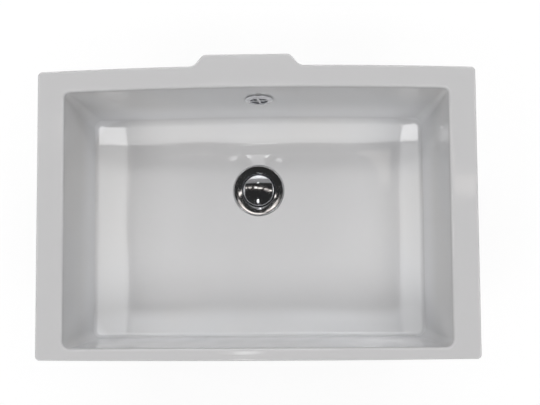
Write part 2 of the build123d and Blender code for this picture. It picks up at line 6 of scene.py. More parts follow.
import bpy
import numpy as np
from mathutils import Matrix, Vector


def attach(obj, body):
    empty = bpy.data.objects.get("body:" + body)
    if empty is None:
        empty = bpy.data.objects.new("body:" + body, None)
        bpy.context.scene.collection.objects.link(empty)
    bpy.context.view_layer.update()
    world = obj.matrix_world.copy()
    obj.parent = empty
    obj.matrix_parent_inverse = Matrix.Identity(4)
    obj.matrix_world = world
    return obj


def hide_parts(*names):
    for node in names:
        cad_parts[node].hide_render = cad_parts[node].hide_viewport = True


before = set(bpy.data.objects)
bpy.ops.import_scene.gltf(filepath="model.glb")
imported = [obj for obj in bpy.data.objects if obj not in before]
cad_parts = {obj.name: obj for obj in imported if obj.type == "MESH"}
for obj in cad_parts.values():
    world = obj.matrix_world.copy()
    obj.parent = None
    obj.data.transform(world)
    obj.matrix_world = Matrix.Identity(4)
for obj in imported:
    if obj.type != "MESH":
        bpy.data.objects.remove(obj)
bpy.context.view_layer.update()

# A rectangular undercounter washbasin with its overflow and its push-open waste.
# Shapes are worked out in millimetres and written to the meshes in metres.
# X runs to the right, Y to the back and Z up, from the middle of the rim's top.
# The waste's centre and the floor's depth are shared by the casting and the fittings.
# Points are welded on a grid with so many steps to the millimetre.

MM = 0.001
TURN = 2.0 * math.pi
QUARTER = 0.25 * TURN
WELD_STEPS = 2000.0
WASTE_CENTRE = (-2.5, 36.0)
FLOOR_DEPTH = 140.0
Colour = tuple[float, float, float, float]
Tint = tuple[float, float, float]
Span = tuple[float, float, float, float]
log = logging.getLogger("washbasin")


class Step(Enum):
    """The Math node operations that the finishes and the studio use."""

    ADD = "ADD"
    SUBTRACT = "SUBTRACT"
    MULTIPLY = "MULTIPLY"
    LEAST = "MINIMUM"


class Value:
    """A shader socket on which Python's arithmetic adds Math nodes."""

    def __init__(self, shader: "Shader", socket: bpy.types.NodeSocket) -> None:
        """Keeps the socket and the shader that it is in."""
        self.shader = shader
        self.socket = socket

    def step(self, operation: Step, *others: "Value | float") -> "Value":
        """Adds one Math node.

        Args:
            operation: what the node works out.
            others: its inputs after this value.

        Returns:
            The node's result.
        """
        return self.shader.math(operation, self, *others)

    def __add__(self, other: "Value | float") -> "Value":
        """The sum with a value or number on the right."""
        return self.step(Step.ADD, other)

    def __radd__(self, other: float) -> "Value":
        """The sum with a number on the left."""
        return self.step(Step.ADD, other)

    def __sub__(self, other: "Value | float") -> "Value":
        """The difference with a value or number on the right."""
        return self.step(Step.SUBTRACT, other)

    def __rsub__(self, other: float) -> "Value":
        """A number on the left less this value."""
        return self.shader.math(Step.SUBTRACT, other, self)

    def __mul__(self, other: "Value | float") -> "Value":
        """The product with a value or number on the right."""
        return self.step(Step.MULTIPLY, other)

    def __rmul__(self, other: float) -> "Value":
        """The product with a number on the left."""
        return self.step(Step.MULTIPLY, other)

    def fade(self, start: float, end: float) -> "Value":
        """A smooth step.

        Args:
            start: the value at which the result is 0.
            end: the value at which the result is 1.

        Returns:
            The step, held to 0 and 1 beyond its ends.
        """
        rising = start < end
        low, high = (start, end) if rising else (end, start)
        node = self.shader.node(
            "ShaderNodeMapRange",
            {"interpolation_type": "SMOOTHSTEP"},
            {"Value": self, "From Min": low, "From Max": high},
        )
        result = Value(self.shader, node.outputs["Result"])
        return result if rising else 1.0 - result


class Shader:
    """The node tree of a material or of the world, and how nodes are added to it."""

    def __init__(self, owner: bpy.types.Material | bpy.types.World) -> None:
        """Clears the owner's tree."""
        owner.use_nodes = True
        self.tree = owner.node_tree
        self.tree.nodes.clear()

    def node(
        self,
        kind: str,
        settings: dict[str, object] | None = None,
        sockets: dict[str | int, object] | None = None,
    ) -> bpy.types.Node:
        """Adds a node, its settings first and its sockets after them.

        Args:
            kind: the node's type.
            settings: the node's properties.
            sockets: a value, a number, a colour or a socket for each input.

        Returns:
            The new node.
        """
        node = self.tree.nodes.new(kind)
        for key, setting in (settings or {}).items():
            setattr(node, key, setting)
        for key, source in (sockets or {}).items():
            if isinstance(source, Value):
                source = source.socket
            if isinstance(source, bpy.types.NodeSocket):
                self.tree.links.new(source, node.inputs[key])
            else:
                node.inputs[key].default_value = source
        return node

    def math(self, operation: Step, *inputs: "Value | float") -> Value:
        """Adds a Math node.

        Args:
            operation: what it works out.
            inputs: its inputs in order.

        Returns:
            Its result.
        """
        node = self.node("ShaderNodeMath", {"operation": operation.value}, dict(enumerate(inputs)))
        return Value(self, node.outputs[0])

    def place(self) -> bpy.types.NodeSocket:
        """The Object coordinates in metres."""
        return self.node("ShaderNodeTexCoord").outputs["Object"]

    def upward(self) -> Value:
        """How far the piece looks up, from its own attribute of that name."""
        attribute = self.node("ShaderNodeAttribute", {"attribute_name": "upward"})
        return Value(self, attribute.outputs["Fac"])

    def height(self) -> Value:
        """The height in metres, from the Object coordinates."""
        split = self.node("ShaderNodeSeparateXYZ", None, {"Vector": self.place()})
        return Value(self, split.outputs["Z"])

    def stretched(self, scale: tuple[float, float, float]) -> bpy.types.NodeSocket:
        """The Object coordinates, scaled along each axis."""
        mapping = self.node("ShaderNodeMapping", None, {"Vector": self.place(), "Scale": scale})
        return mapping.outputs["Vector"]

    def noise(
        self,
        scale: float,
        detail: float = 2.0,
        roughness: float = 0.5,
        place: bpy.types.NodeSocket | None = None,
    ) -> Value:
        """Soft noise.

        Args:
            scale: cells to the metre.
            detail: octaves.
            roughness: how strong the finer octaves are.
            place: the coordinates, if not the plain Object coordinates.

        Returns:
            The noise, mostly from 0.3 to 0.7.
        """
        sockets = {
            "Vector": place or self.place(),
            "Scale": scale,
            "Detail": detail,
            "Roughness": roughness,
        }
        return Value(self, self.node("ShaderNodeTexNoise", None, sockets).outputs[0])

    def cells(self, scale: float) -> Value:
        """Distance to the nearest of scattered points, with so many cells to the metre."""
        sockets = {"Vector": self.place(), "Scale": scale}
        return Value(self, self.node("ShaderNodeTexVoronoi", None, sockets).outputs["Distance"])

    def blend(self, mask: Value, off: object, on: object) -> bpy.types.NodeSocket:
        """Mixes two colours.

        Args:
            mask: 0 for the first colour and 1 for the second.
            off: the first colour.
            on: the second colour.

        Returns:
            The mixed colour.
        """
        # A Mix node has its factor at input 0, its colours at 6 and 7 and their mix at output 2.
        node = self.node("ShaderNodeMix", {"data_type": "RGBA"}, {0: mask, 6: off, 7: on})
        return node.outputs[2]

    def bump(self, height: Value, metres: float) -> bpy.types.NodeSocket:
        """A bumped normal.

        Args:
            height: the relief from 0 to 1.
            metres: how high 1 stands.

        Returns:
            The normal.
        """
        sockets = {"Height": height, "Distance": metres, "Strength": 1.0}
        return self.node("ShaderNodeBump", None, sockets).outputs["Normal"]

    def surface(self, sockets: dict[str, object], fixed: dict[str, float] | None = None) -> None:
        """Ends a material with one principled surface.

        Args:
            sockets: what changes over the surface.
            fixed: what is the same all over, set on the surface's own inputs.
        """
        principled = self.node("ShaderNodeBsdfPrincipled", None, {**sockets, **(fixed or {})})
        self.node("ShaderNodeOutputMaterial", None, {"Surface": principled.outputs["BSDF"]})


def colour(red: float, green: float, blue: float) -> Colour:
    """A linear colour as a socket takes it."""
    return (red, green, blue, 1.0)


@dataclass(frozen=True)
class Finish:
    """A surface finish: a slot name and a material made once."""

    slot: str

    def material(self) -> bpy.types.Material:
        """The finish's material, built on its first use.

        Returns:
            The material.
        """
        name = f"{self.slot}_finish"
        made = bpy.data.materials.get(name)
        if made is None:
            made = bpy.data.materials.new(name)
            self.build(Shader(made))
        return made

    def build(self, shader: Shader) -> None:
        """Adds the finish's nodes; each kind of finish has its own."""
        raise NotImplementedError


@dataclass(frozen=True)
class Glaze(Finish):
    """White sanitary glaze over a pale body, bare on the foot of the boss.

    Where the casting looks up, its tone carries painted shade and painted light by height:
    darker on the rim's top and on the floor, lighter low on the walls. Each pair of heights,
    in metres, says where a tone starts and where it is full.
    """

    white: Colour = colour(0.556, 0.560, 0.571)
    warm: Colour = colour(0.566, 0.561, 0.560)
    painted_shade: Colour = colour(0.432, 0.429, 0.433)
    painted_light: Colour = colour(0.640, 0.644, 0.656)
    bare: Colour = colour(0.560, 0.520, 0.450)
    speck: Colour = colour(0.40, 0.36, 0.31)
    pale_clay: Colour = colour(0.64, 0.60, 0.52)
    gloss: float = 0.045
    bare_gloss: float = 0.75
    bare_from: float = -0.1826
    bare_full: float = -0.1835
    level_side: float = 0.06
    painted_shade_rim: tuple[float, float] = (-0.0060, -0.0012)
    painted_shade_floor: tuple[float, float] = (-0.1330, -0.1392)
    painted_light_top: tuple[float, float] = (-0.055, -0.106)
    painted_light_foot: tuple[float, float] = (-0.1215, -0.1165)
    speck_share: float = 0.12

    def build(self, shader: Shader) -> None:
        """Glaze with painted shade on rim and floor, painted light low on the walls, and orange peel.

        Args:
            shader: the material's shader.
        """
        height = shader.height()
        foot = height.fade(self.bare_from, self.bare_full)
        drift = shader.noise(scale=5.0, detail=3.0).fade(0.35, 0.65)
        tone = shader.blend(drift, self.white, self.warm)
        upward = shader.upward().fade(0.0, self.level_side)
        # Painted shade: a darker tone on up-facing faces of the rim's top and of the floor.
        painted_shade_mask = height.fade(*self.painted_shade_rim) + height.fade(*self.painted_shade_floor)
        tone = shader.blend(painted_shade_mask * upward, tone, self.painted_shade)
        # Painted light: a lighter tone on up-facing faces low on the walls.
        painted_light_mask = height.fade(*self.painted_light_top) * height.fade(*self.painted_light_foot)
        tone = shader.blend(painted_light_mask * upward, tone, self.painted_light)
        specks = shader.cells(scale=160.0).fade(0.045, 0.02) * shader.noise(scale=40.0).fade(0.55, 0.62)
        tone = shader.blend(specks * self.speck_share, tone, self.speck)
        grain = shader.noise(scale=900.0, detail=4.0)
        clay = shader.blend(grain.fade(0.3, 0.7), self.bare, self.pale_clay)
        peel = shader.noise(scale=190.0, detail=1.0) * 0.5 + shader.noise(scale=60.0, detail=1.0)
        relief = peel * (1.0 - foot) + grain * foot * 4.0
        roughness = self.gloss + shader.noise(scale=30.0) * 0.02 + foot * self.bare_gloss
        shader.surface(
            {
                "Base Color": shader.blend(foot, tone, clay),
                "Roughness": roughness,
                "Normal": shader.bump(relief, metres=0.00004),
            },
            {"IOR": 1.5},
        )


@dataclass(frozen=True)
class Plated(Finish):
    """Bright chrome plating."""

    bright: Colour = colour(0.72, 0.73, 0.75)
    hazed: Colour = colour(0.64, 0.64, 0.66)
    gloss: float = 0.05
    ripple: float = 0.000012

    def build(self, shader: Shader) -> None:
        """Chrome with faint haze, wipe marks and a slight ripple of the polish.

        Args:
            shader: the material's shader.
        """
        haze = shader.noise(scale=120.0, detail=4.0).fade(0.42, 0.68)
        along = shader.stretched((1.0, 0.12, 1.0))
        wipes = shader.noise(scale=900.0, detail=2.0, roughness=0.6, place=along)
        shader.surface(
            {
                "Base Color": shader.blend(haze, self.bright, self.hazed),
                "Roughness": self.gloss + haze * 0.05 + wipes * 0.03,
                "Metallic": 1.0,
                "Normal": shader.bump(shader.noise(scale=150.0, detail=1.0), metres=self.ripple),
            }
        )


@dataclass(frozen=True)
class Machined(Finish):
    """Bare turned metal with fine tool marks."""

    bright: Colour = colour(0.72, 0.52, 0.25)
    dull: Colour = colour(0.50, 0.33, 0.14)
    gloss: float = 0.24
    marks: float = 1400.0

    def build(self, shader: Shader) -> None:
        """Metal with tarnish in patches and rings of the tool.

        Args:
            shader: the material's shader.
        """
        tarnish = shader.noise(scale=70.0, detail=5.0, roughness=0.6).fade(0.4, 0.65)
        flat = shader.stretched((0.05, 0.05, 1.0))
        rings = shader.noise(scale=self.marks, detail=2.0, roughness=0.5, place=flat)
        shader.surface(
            {
                "Base Color": shader.blend(tarnish, self.bright, self.dull),
                "Roughness": self.gloss + tarnish * 0.18 + rings * 0.1,
                "Metallic": 1.0,
                "Normal": shader.bump(rings, metres=0.00003),
            }
        )


@dataclass(frozen=True)
class Rubber(Finish):
    """Moulded rubber with a dusty bloom."""

    base: Colour = colour(0.022, 0.022, 0.023)
    bloom: Colour = colour(0.075, 0.073, 0.070)

    def build(self, shader: Shader) -> None:
        """Rubber with bloom in clouds and a fine grain.

        Args:
            shader: the material's shader.
        """
        cloud = shader.noise(scale=90.0, detail=5.0, roughness=0.6).fade(0.42, 0.7)
        grain = shader.noise(scale=2600.0, detail=2.0)
        shader.surface(
            {
                "Base Color": shader.blend(cloud, self.base, self.bloom),
                "Roughness": 0.52 + cloud * 0.2 + grain * 0.1,
                "Normal": shader.bump(grain, metres=0.00003),
            },
            {"Specular IOR Level": 0.4},
        )


@dataclass(frozen=True)
class Moulded(Finish):
    """Moulded plastic with a slightly mottled skin."""

    base: Colour = colour(0.74, 0.74, 0.72)
    shade: Colour = colour(0.66, 0.66, 0.63)
    gloss: float = 0.32

    def build(self, shader: Shader) -> None:
        """Plastic with flow marks and a soft grain.

        Args:
            shader: the material's shader.
        """
        flow = shader.noise(scale=45.0, detail=4.0, roughness=0.55).fade(0.35, 0.68)
        grain = shader.noise(scale=1500.0, detail=2.0)
        shader.surface(
            {
                "Base Color": shader.blend(flow, self.base, self.shade),
                "Roughness": self.gloss + flow * 0.1 + grain * 0.08,
                "Normal": shader.bump(grain, metres=0.00002),
            }
        )


GLAZE = Glaze("glaze")
WASTE_CHROME = Plated("chromed_brass")
CAP_CHROME = Plated("chromed_cap", gloss=0.04)
ROSE_CHROME = Plated("chromed_rose", gloss=0.06)
BRASS = Machined("bare_brass")
STEEL = Machined("spring_steel", colour(0.55, 0.55, 0.56), colour(0.40, 0.39, 0.38), 0.2)
BLACK_RUBBER = Rubber("black_rubber")
GREY_RUBBER = Rubber("grey_rubber", colour(0.16, 0.16, 0.165), colour(0.25, 0.25, 0.25))
WHITE_PLASTIC = Moulded("white_plastic")
CARTRIDGE_PLASTIC = Moulded("cartridge_plastic", colour(0.62, 0.64, 0.67), colour(0.54, 0.56, 0.60))


@dataclass(frozen=True)
class Patch:
    """A grid of points, and whether its rows and its columns close on themselves."""

    points: np.ndarray
    ring: bool = True
    loop: bool = False

    def quads(self) -> np.ndarray:
        """The corner numbers of the grid's faces.

        Returns:
            An array with four numbers for each face, counted from the patch's first point.
        """
        rows, columns = self.points.shape[:2]
        row = np.arange(rows if self.loop else rows - 1)
        column = np.arange(columns if self.ring else columns - 1)
        row, column = np.meshgrid(row, column, indexing="ij")
        below = (row + 1) % rows * columns
        beside = (column + 1) % columns
        corners = (row * columns + column, row * columns + beside, below + beside, below + column)
        return np.stack(corners, axis=-1).reshape(-1, 4)


def weld(points: np.ndarray, quads: np.ndarray) -> tuple[np.ndarray, np.ndarray, np.ndarray]:
    """Joins points that lie together, so that seams and poles are closed.

    Args:
        points: the points in millimetres.
        quads: four corner numbers for each face.

    Returns:
        The points that are left, the faces with four corners and those with three.
    """
    keys = np.round(points * WELD_STEPS).astype(np.int64)
    _, first, number = np.unique(keys, axis=0, return_index=True, return_inverse=True)
    quads = number.reshape(-1)[quads]
    same = quads == np.roll(quads, -1, axis=1)
    doubles = same.sum(axis=1)
    poles = quads[doubles == 1]
    triangles = poles[~same[doubles == 1]].reshape(-1, 3)
    return points[first], quads[doubles == 0], triangles


def inside_out(points: np.ndarray, quads: np.ndarray, triangles: np.ndarray) -> bool:
    """Whether a closed mesh encloses a negative volume, summed over its triangles.

    Args:
        points: the points.
        quads: faces with four corners.
        triangles: faces with three corners.

    Returns:
        True if the faces look inwards.
    """
    every = np.concatenate([quads[:, [0, 1, 2]], quads[:, [0, 2, 3]], triangles])
    first, second, third = (points[every[:, corner]] for corner in range(3))
    return float(np.einsum("ij,ij->i", first, np.cross(second, third)).sum()) < 0.0


def make_piece(
    name: str, patches: list[Patch], crease: float = 35.0, kept: np.ndarray | None = None
) -> bpy.types.Object:
    """Turns patches into one mesh object at the origin, with its faces outwards.

    Args:
        name: the piece's name.
        patches: its grids in millimetres.
        crease: the angle in degrees past which an edge stays sharp.
        kept: for a single patch, which of its faces are kept.

    Returns:
        The new object.
    """
    first = np.cumsum([0] + [patch.points.shape[0] * patch.points.shape[1] for patch in patches])
    points = np.concatenate([patch.points.reshape(-1, 3) for patch in patches])
    quads = np.concatenate([patch.quads() + start for patch, start in zip(patches, first)])
    flip = inside_out(points, quads, np.zeros((0, 3), dtype=np.int64))
    if kept is not None:
        quads = quads[kept]
    points, quads, triangles = weld(points, quads)
    if flip:
        quads, triangles = quads[:, ::-1], triangles[:, ::-1]
    mesh = bpy.data.meshes.new(name)
    mesh.from_pydata(points * MM, [], quads.tolist() + triangles.tolist())
    mesh.validate()
    mesh.shade_smooth()
    mesh.set_sharp_from_angle(angle=math.radians(crease))
    piece = bpy.data.objects.new(name, mesh)
    bpy.context.scene.collection.objects.link(piece)
    return piece


def mark_upward(piece: bpy.types.Object) -> None:
    """Keeps in the attribute upward how far each vertex looks up, from -1 to 1.

    Args:
        piece: the piece.
    """
    mesh = piece.data
    normals = np.empty(3 * len(mesh.vertices), dtype=np.float32)
    mesh.vertices.foreach_get("normal", normals)
    upward = mesh.attributes.new("upward", "FLOAT", "POINT")
    upward.data.foreach_set("value", normals[2::3].copy())


def mount(
    piece: bpy.types.Object, body: str, finish: Finish, stands_for: tuple[str, ...] = ()
) -> None:
    """Gives a piece its body, slot and finish.

    Args:
        piece: the piece.
        body: the body that it moves with.
        finish: its finish.
        stands_for: the frame's nodes that it is shown for.
    """
    piece.data.materials.append(finish.material())
    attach(piece, body)
    if stands_for:
        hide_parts(*stands_for)
    log.info("%s: %d faces, %s", piece.name, len(piece.data.polygons), finish.slot)


def dress(node: str, finish: Finish) -> None:
    """Gives one of the frame's nodes its finish.

    Args:
        node: the node's name.
        finish: the finish.
    """
    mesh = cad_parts[node].data
    mesh.materials.clear()
    mesh.materials.append(finish.material())
    log.info("%s: frame node, %s", node, finish.slot)


def rounded(
    corners: list[tuple[float, float, float]], steps: int = 6, closed: bool = True
) -> np.ndarray:
    """A profile of straight lines whose corners are rounded by arcs.

    At a corner the arc starts a tangent length before it, which is the round times
    the tangent of half the turn, and ends as far behind it.

    Args:
        corners: first and second coordinate and round of each corner.
        steps: lines in each arc.
        closed: whether the last corner joins the first.

    Returns:
        The points as an array of two columns.
    """
    given = np.array(corners)
    parts = []
    for index, (across, up, radius) in enumerate(corners):
        corner = np.array((across, up))
        if radius == 0.0 or (not closed and index in (0, len(corners) - 1)):
            parts.append(corner[None])
            continue
        before = given[index - 1, :2] - corner
        after = given[(index + 1) % len(corners), :2] - corner
        before /= np.linalg.norm(before)
        after /= np.linalg.norm(after)
        half = 0.5 * math.acos(max(-1.0, min(1.0, float(before @ after))))
        tangent = radius / math.tan(half)
        middle = corner + (before + after) / np.linalg.norm(before + after) * radius / math.sin(half)
        start = corner + before * tangent - middle
        end = corner + after * tangent - middle
        share = np.linspace(0.0, 1.0, steps + 1)[:, None]
        sweep = math.pi - 2.0 * half
        arc = (start * np.sin((1.0 - share) * sweep) + end * np.sin(share * sweep)) / math.sin(sweep)
        parts.append(middle + arc)
    return np.concatenate(parts)


def turned(
    profile: np.ndarray, centre: tuple[float, float], columns: int = 96, loop: bool = True
) -> Patch:
    """Carries a profile round an upright axis.

    A point of the profile with radius r and height z goes to x = r cos a, y = r sin a.

    Args:
        profile: radius and height of each point.
        centre: where the axis stands.
        columns: steps round the axis.
        loop: whether the profile is closed.

    Returns:
        The patch.
    """
    angle = np.linspace(0.0, TURN, columns, endpoint=False)
    radius = profile[:, 0, None]
    across = centre[0] + radius * np.cos(angle)
    along = centre[1] + radius * np.sin(angle)
    up = np.broadcast_to(profile[:, 1, None], across.shape)
    return Patch(np.stack([across, along, up], axis=-1), loop=loop)


def between(start: np.ndarray, end: np.ndarray, share: np.ndarray) -> np.ndarray:
    """Points on the straight lines from one row to another, at shares from 0 to 1."""
    return start * (1.0 - share) + end * share


def raised(flat: np.ndarray, height: float) -> np.ndarray:
    """Gives the points of a level row their height."""
    return np.concatenate([flat, np.full((len(flat), 1), height)], axis=1)


def smooth_step(share: np.ndarray) -> np.ndarray:
    """0 below 0, 1 above 1 and a smooth rise between."""
    share = np.clip(share, 0.0, 1.0)
    return share * share * (3.0 - 2.0 * share)


@dataclass
class Basin:
    """The ceramic casting: rim, bowl, overflow duct and waste boss.

    Lengths are in millimetres, depths count down from the rim's top, and slopes are
    in degrees. The columns go round every level outline, and the steps go down it.
    """

    # Rim
    half_width: float = 255.0
    half_depth: float = 170.8
    rim_thickness: float = 14.0
    rim_corner: float = 5.0
    rim_edge: float = 1.5
    foot_edge: float = 0.8
    back_bow: float = 5.3
    front_bow: float = 1.3
    lip: float = 3.0
    # Swelling of its back edge
    swell_x: float = -10.3
    swell_back: float = 183.9
    swell_half: float = 61.85
    swell_run: float = 11.0
    swell_foot: float = 12.0
    swell_top: float = 8.0
    # Mouth of the bowl, and how far the walls lean in under it
    side: float = 223.6
    back: float = 144.9
    front: float = -156.1
    lean_side: float = 14.0
    lean_back: float = 16.0
    lean_front: float = 4.7
    shift: float = -2.3
    bow: float = 4.1
    # Rounds of the upright corners, and the depth of the walls
    corner_back: float = 5.5
    corner_front: float = 8.0
    corner_foot: float = 11.0
    corner_shell: float = 36.0
    corner_floor: float = 30.0
    wall_depth: float = 118.9
    # How far the shell and the floor come in from the walls' foot
    shell_side: float = 50.0
    shell_end: float = 43.0
    floor_side: float = 54.0
    floor_end: float = 46.0
    # Knee and ramps
    knee: float = 7.0
    knee_back: float = 13.0
    side_slope: float = 18.5
    back_slope: float = 17.5
    front_slope: float = 14.0
    left_run: float = 43.0
    right_run: float = 31.5
    back_run: float = 33.3
    front_run: float = 36.0
    foot_soft: float = 4.0
    # Floor and underside
    bed: float = 136.9
    wall: float = 10.0
    underside: float = 149.0
    # Boss and hole of the waste
    boss_foot: float = 184.0
    boss_radius: float = 42.0
    boss_round: float = 3.0
    waste: tuple[float, float] = WASTE_CENTRE
    floor: float = FLOOR_DEPTH
    floor_radius: float = 34.5
    recess_radius: float = 33.0
    recess_depth: float = 144.5
    hole_radius: float = 23.0
    # Overflow hole
    hole_x: float = 2.5
    hole_depth: float = 44.0
    overflow_radius: float = 12.5
    # Overflow duct and the hollow in it
    duct_back: float = 163.9
    duct_width: float = 66.0
    duct_corner: float = 6.0
    duct_foot: float = 174.0
    duct_foot_corner: float = 4.8
    duct_sink: float = 24.6
    duct_reach: float = 24.5
    duct_edge: float = 0.6
    cavity_radius: float = 22.0
    cavity_depth: float = 26.0
    # Unevenness of the glazed faces
    wave: float = 0.04
    top_hollow: float = 0.12
    spread: float = 2.0
    # Columns and steps of the grid
    swell_right: tuple[float, float] = (0.234, 0.142)
    swell_left: tuple[float, float] = (-0.2246, -0.317)
    back_columns: tuple[int, ...] = (28, 14, 4, 14, 10, 14, 26)
    corner_columns: int = 14
    side_columns: int = 60
    front_columns: int = 96
    lip_steps: int = 7
    high_steps: int = 8
    hole_steps: int = 14
    columns: tuple[np.ndarray, ...] = field(init=False)

    def __post_init__(self) -> None:
        """Lays out the columns that go round every level, closer at the hole and the swelling."""
        holes = (self.hole_share(1), self.hole_share(-1))
        places = (1.0, *self.swell_right, *holes, *self.swell_left, -1.0)
        back = np.concatenate(
            [
                np.linspace(start, end, count, endpoint=False)
                for start, end, count in zip(places, places[1:], self.back_columns)
            ]
        )
        bend = np.linspace(0.0, QUARTER, self.corner_columns, endpoint=False)
        left = np.linspace(1.0, -1.0, self.side_columns, endpoint=False)
        front = np.linspace(-1.0, 1.0, self.front_columns, endpoint=False)
        sides = (
            (back, 1.0, QUARTER),
            (-1.0, 1.0, bend + QUARTER),
            (-1.0, left, 2.0 * QUARTER),
            (-1.0, -1.0, bend + 2.0 * QUARTER),
            (front, -1.0, 3.0 * QUARTER),
            (1.0, -1.0, bend + 3.0 * QUARTER),
            (1.0, -left, 4.0 * QUARTER),
            (1.0, 1.0, bend),
        )
        parts = zip(*(np.broadcast_arrays(*side) for side in sides))
        across, along, angle = (np.concatenate(part) for part in parts)
        self.columns = (across, along, np.cos(angle), np.sin(angle))

    def hole_share(self, hand: int) -> float:
        """The place of the overflow hole's side along the back, from -1 to 1.

        Args:
            hand: 1 for the right side and -1 for the left.

        Returns:
            The place.
        """
        lean = self.hole_depth / self.wall_depth
        reach = self.side - self.lean_side * lean
        corner = self.corner_back + (self.corner_foot - self.corner_back) * lean
        return (self.hole_x - self.shift * lean + hand * self.overflow_radius) / (reach - corner)

    @property
    def behind(self) -> np.ndarray:
        """Which columns lie on the straight part of the back."""
        return (self.columns[1] == 1.0) & (self.columns[3] > 0.99)

    def bowing(self, x: np.ndarray, half: np.ndarray) -> np.ndarray:
        """How far an outline's back is drawn in: by the square of the place over the half width."""
        return self.bow * (half / self.side) ** 2 * (x / half) ** 2

    def level(self, depth: np.ndarray, run: np.ndarray, grow: np.ndarray) -> np.ndarray:
        """Level outlines of the bowl: rounded rectangles with a bowed back.

        A column stands on a smaller rectangle, and goes out from it by the corner's
        round in its own direction. The back is drawn in by the square of the place
        along it.

        Args:
            depth: depth of each level under the rim.
            run: how far the cove has run, from 0 on the wall to 1 at its foot.
            grow: how far outside the glazed face the level lies.

        Returns:
            The points of every level, in millimetres.
        """
        across, along, out_x, out_y = self.columns
        depth, run, grow = (np.asarray(values, dtype=float)[:, None] for values in (depth, run, grow))
        lean = np.minimum(depth / self.wall_depth, 1.0)
        half = self.side - self.lean_side * lean - (self.shell_side + grow) * run + grow
        back = self.back - self.lean_back * lean - (self.shell_end + grow) * run + grow
        front = self.front + self.lean_front * lean + (self.shell_end + grow) * run - grow
        corner_top = self.corner_front + (self.corner_back - self.corner_front) * 0.5 * (1.0 + along)
        corner = corner_top + (self.corner_foot - corner_top) * lean
        corner = corner + (self.corner_shell - self.corner_foot) * run + grow * (1.0 - run)
        middle, reach = 0.5 * (back + front), 0.5 * (back - front)
        x = across * (half - corner) + out_x * corner
        y = middle + along * (reach - corner) + out_y * corner
        y = y - self.bowing(x, half) * 0.5 * (along + 1.0)
        return np.stack([x + self.shift * lean, y, np.broadcast_to(-depth, x.shape)], axis=-1)

    def stray(self, place: np.ndarray) -> np.ndarray:
        """Slow wandering of a ramp's foot along its wall, in millimetres: two sines."""
        return self.spread * (0.6 * np.sin(0.021 * place + 0.6) + 0.4 * np.sin(0.047 * place + 2.0))

    def drawn_in(self, inset: np.ndarray) -> np.ndarray:
        """Level outlines inside the foot of the walls.

        Over the knee every side comes in by the inset and the corner's round gets
        as much smaller. From there the ends come in a little less than the sides,
        and the corner's round grows to that of the floor.

        Args:
            inset: how far each outline lies inside the walls' foot, at the sides.

        Returns:
            The points of every outline, at height 0.
        """
        across, along, out_x, out_y = self.columns
        inset = inset[:, None]
        near = np.minimum(inset, self.knee_back)
        far = (inset - near) / (self.floor_side - self.knee_back)
        corner = self.corner_foot - 0.6 * near
        corner = corner + (self.corner_floor - self.corner_foot + 0.6 * self.knee_back) * far
        half = self.side - self.lean_side - inset
        ends = near + (self.floor_end - self.knee_back) * far
        back = self.back - self.lean_back - ends
        front = self.front + self.lean_front + ends
        x = across * (half - corner) + out_x * corner
        middle, reach = 0.5 * (back + front), 0.5 * (back - front)
        y = middle + along * (reach - corner) + out_y * corner
        y = y - self.bowing(x, half) * 0.5 * (along + 1.0)
        return np.stack([x + self.shift, y, np.zeros_like(x)], axis=-1)

    def relief(self, points: np.ndarray) -> np.ndarray:
        """How far the ramps and the knee stand above the bed of the floor.

        A ramp rises in a straight line towards its own wall from a soft foot, and
        in a corner the ramps of both walls add up. The knee adds a quarter round
        of the ceramic at the walls' foot, less what the ramp has risen under it.

        Args:
            points: places in millimetres.

        Returns:
            The heights in millimetres.
        """
        x, y = points[..., 0] - self.shift, points[..., 1]
        half = self.side - self.lean_side
        back = self.back - self.lean_back - self.bow * (x / self.side) ** 2
        front = self.front + self.lean_front
        gaps = (
            (self.left_run - self.stray(y) - (half + x), self.side_slope),
            (self.right_run + self.stray(y + 90.0) - (half - x), self.side_slope),
            (self.back_run + self.stray(x) - (back - y), self.back_slope),
            (self.front_run + self.stray(x + 60.0) - (y - front), self.front_slope),
        )
        height = np.zeros_like(x)
        for reach, slope in gaps:
            hinge = 0.5 * (reach + np.sqrt(reach**2 + self.foot_soft**2))
            height = height + math.tan(math.radians(slope)) * hinge
        middle, reach = 0.5 * (back + front), 0.5 * (back - front)
        over_x = np.abs(x) - (half - self.corner_foot)
        over_y = np.abs(y - middle) - (reach - self.corner_foot)
        round_part = np.hypot(np.maximum(over_x, 0.0), np.maximum(over_y, 0.0))
        from_wall = self.corner_foot - round_part - np.minimum(np.maximum(over_x, over_y), 0.0)
        behind = smooth_step((y - middle - reach + half - np.abs(x)) / 30.0 + 0.5) * (y > middle)
        knee = self.knee + (self.knee_back - self.knee) * behind
        angle = math.radians(90.0 - self.side_slope)
        close = np.clip(from_wall, 0.0, knee * (1.0 - math.cos(angle)))
        arc = np.sqrt(np.maximum(knee**2 - (knee - close) ** 2, 0.0))
        slope = math.tan(math.radians(self.side_slope))
        tangent = knee * (1.0 - math.cos(angle))
        return height + knee * math.sin(angle) - arc - slope * (tangent - close)

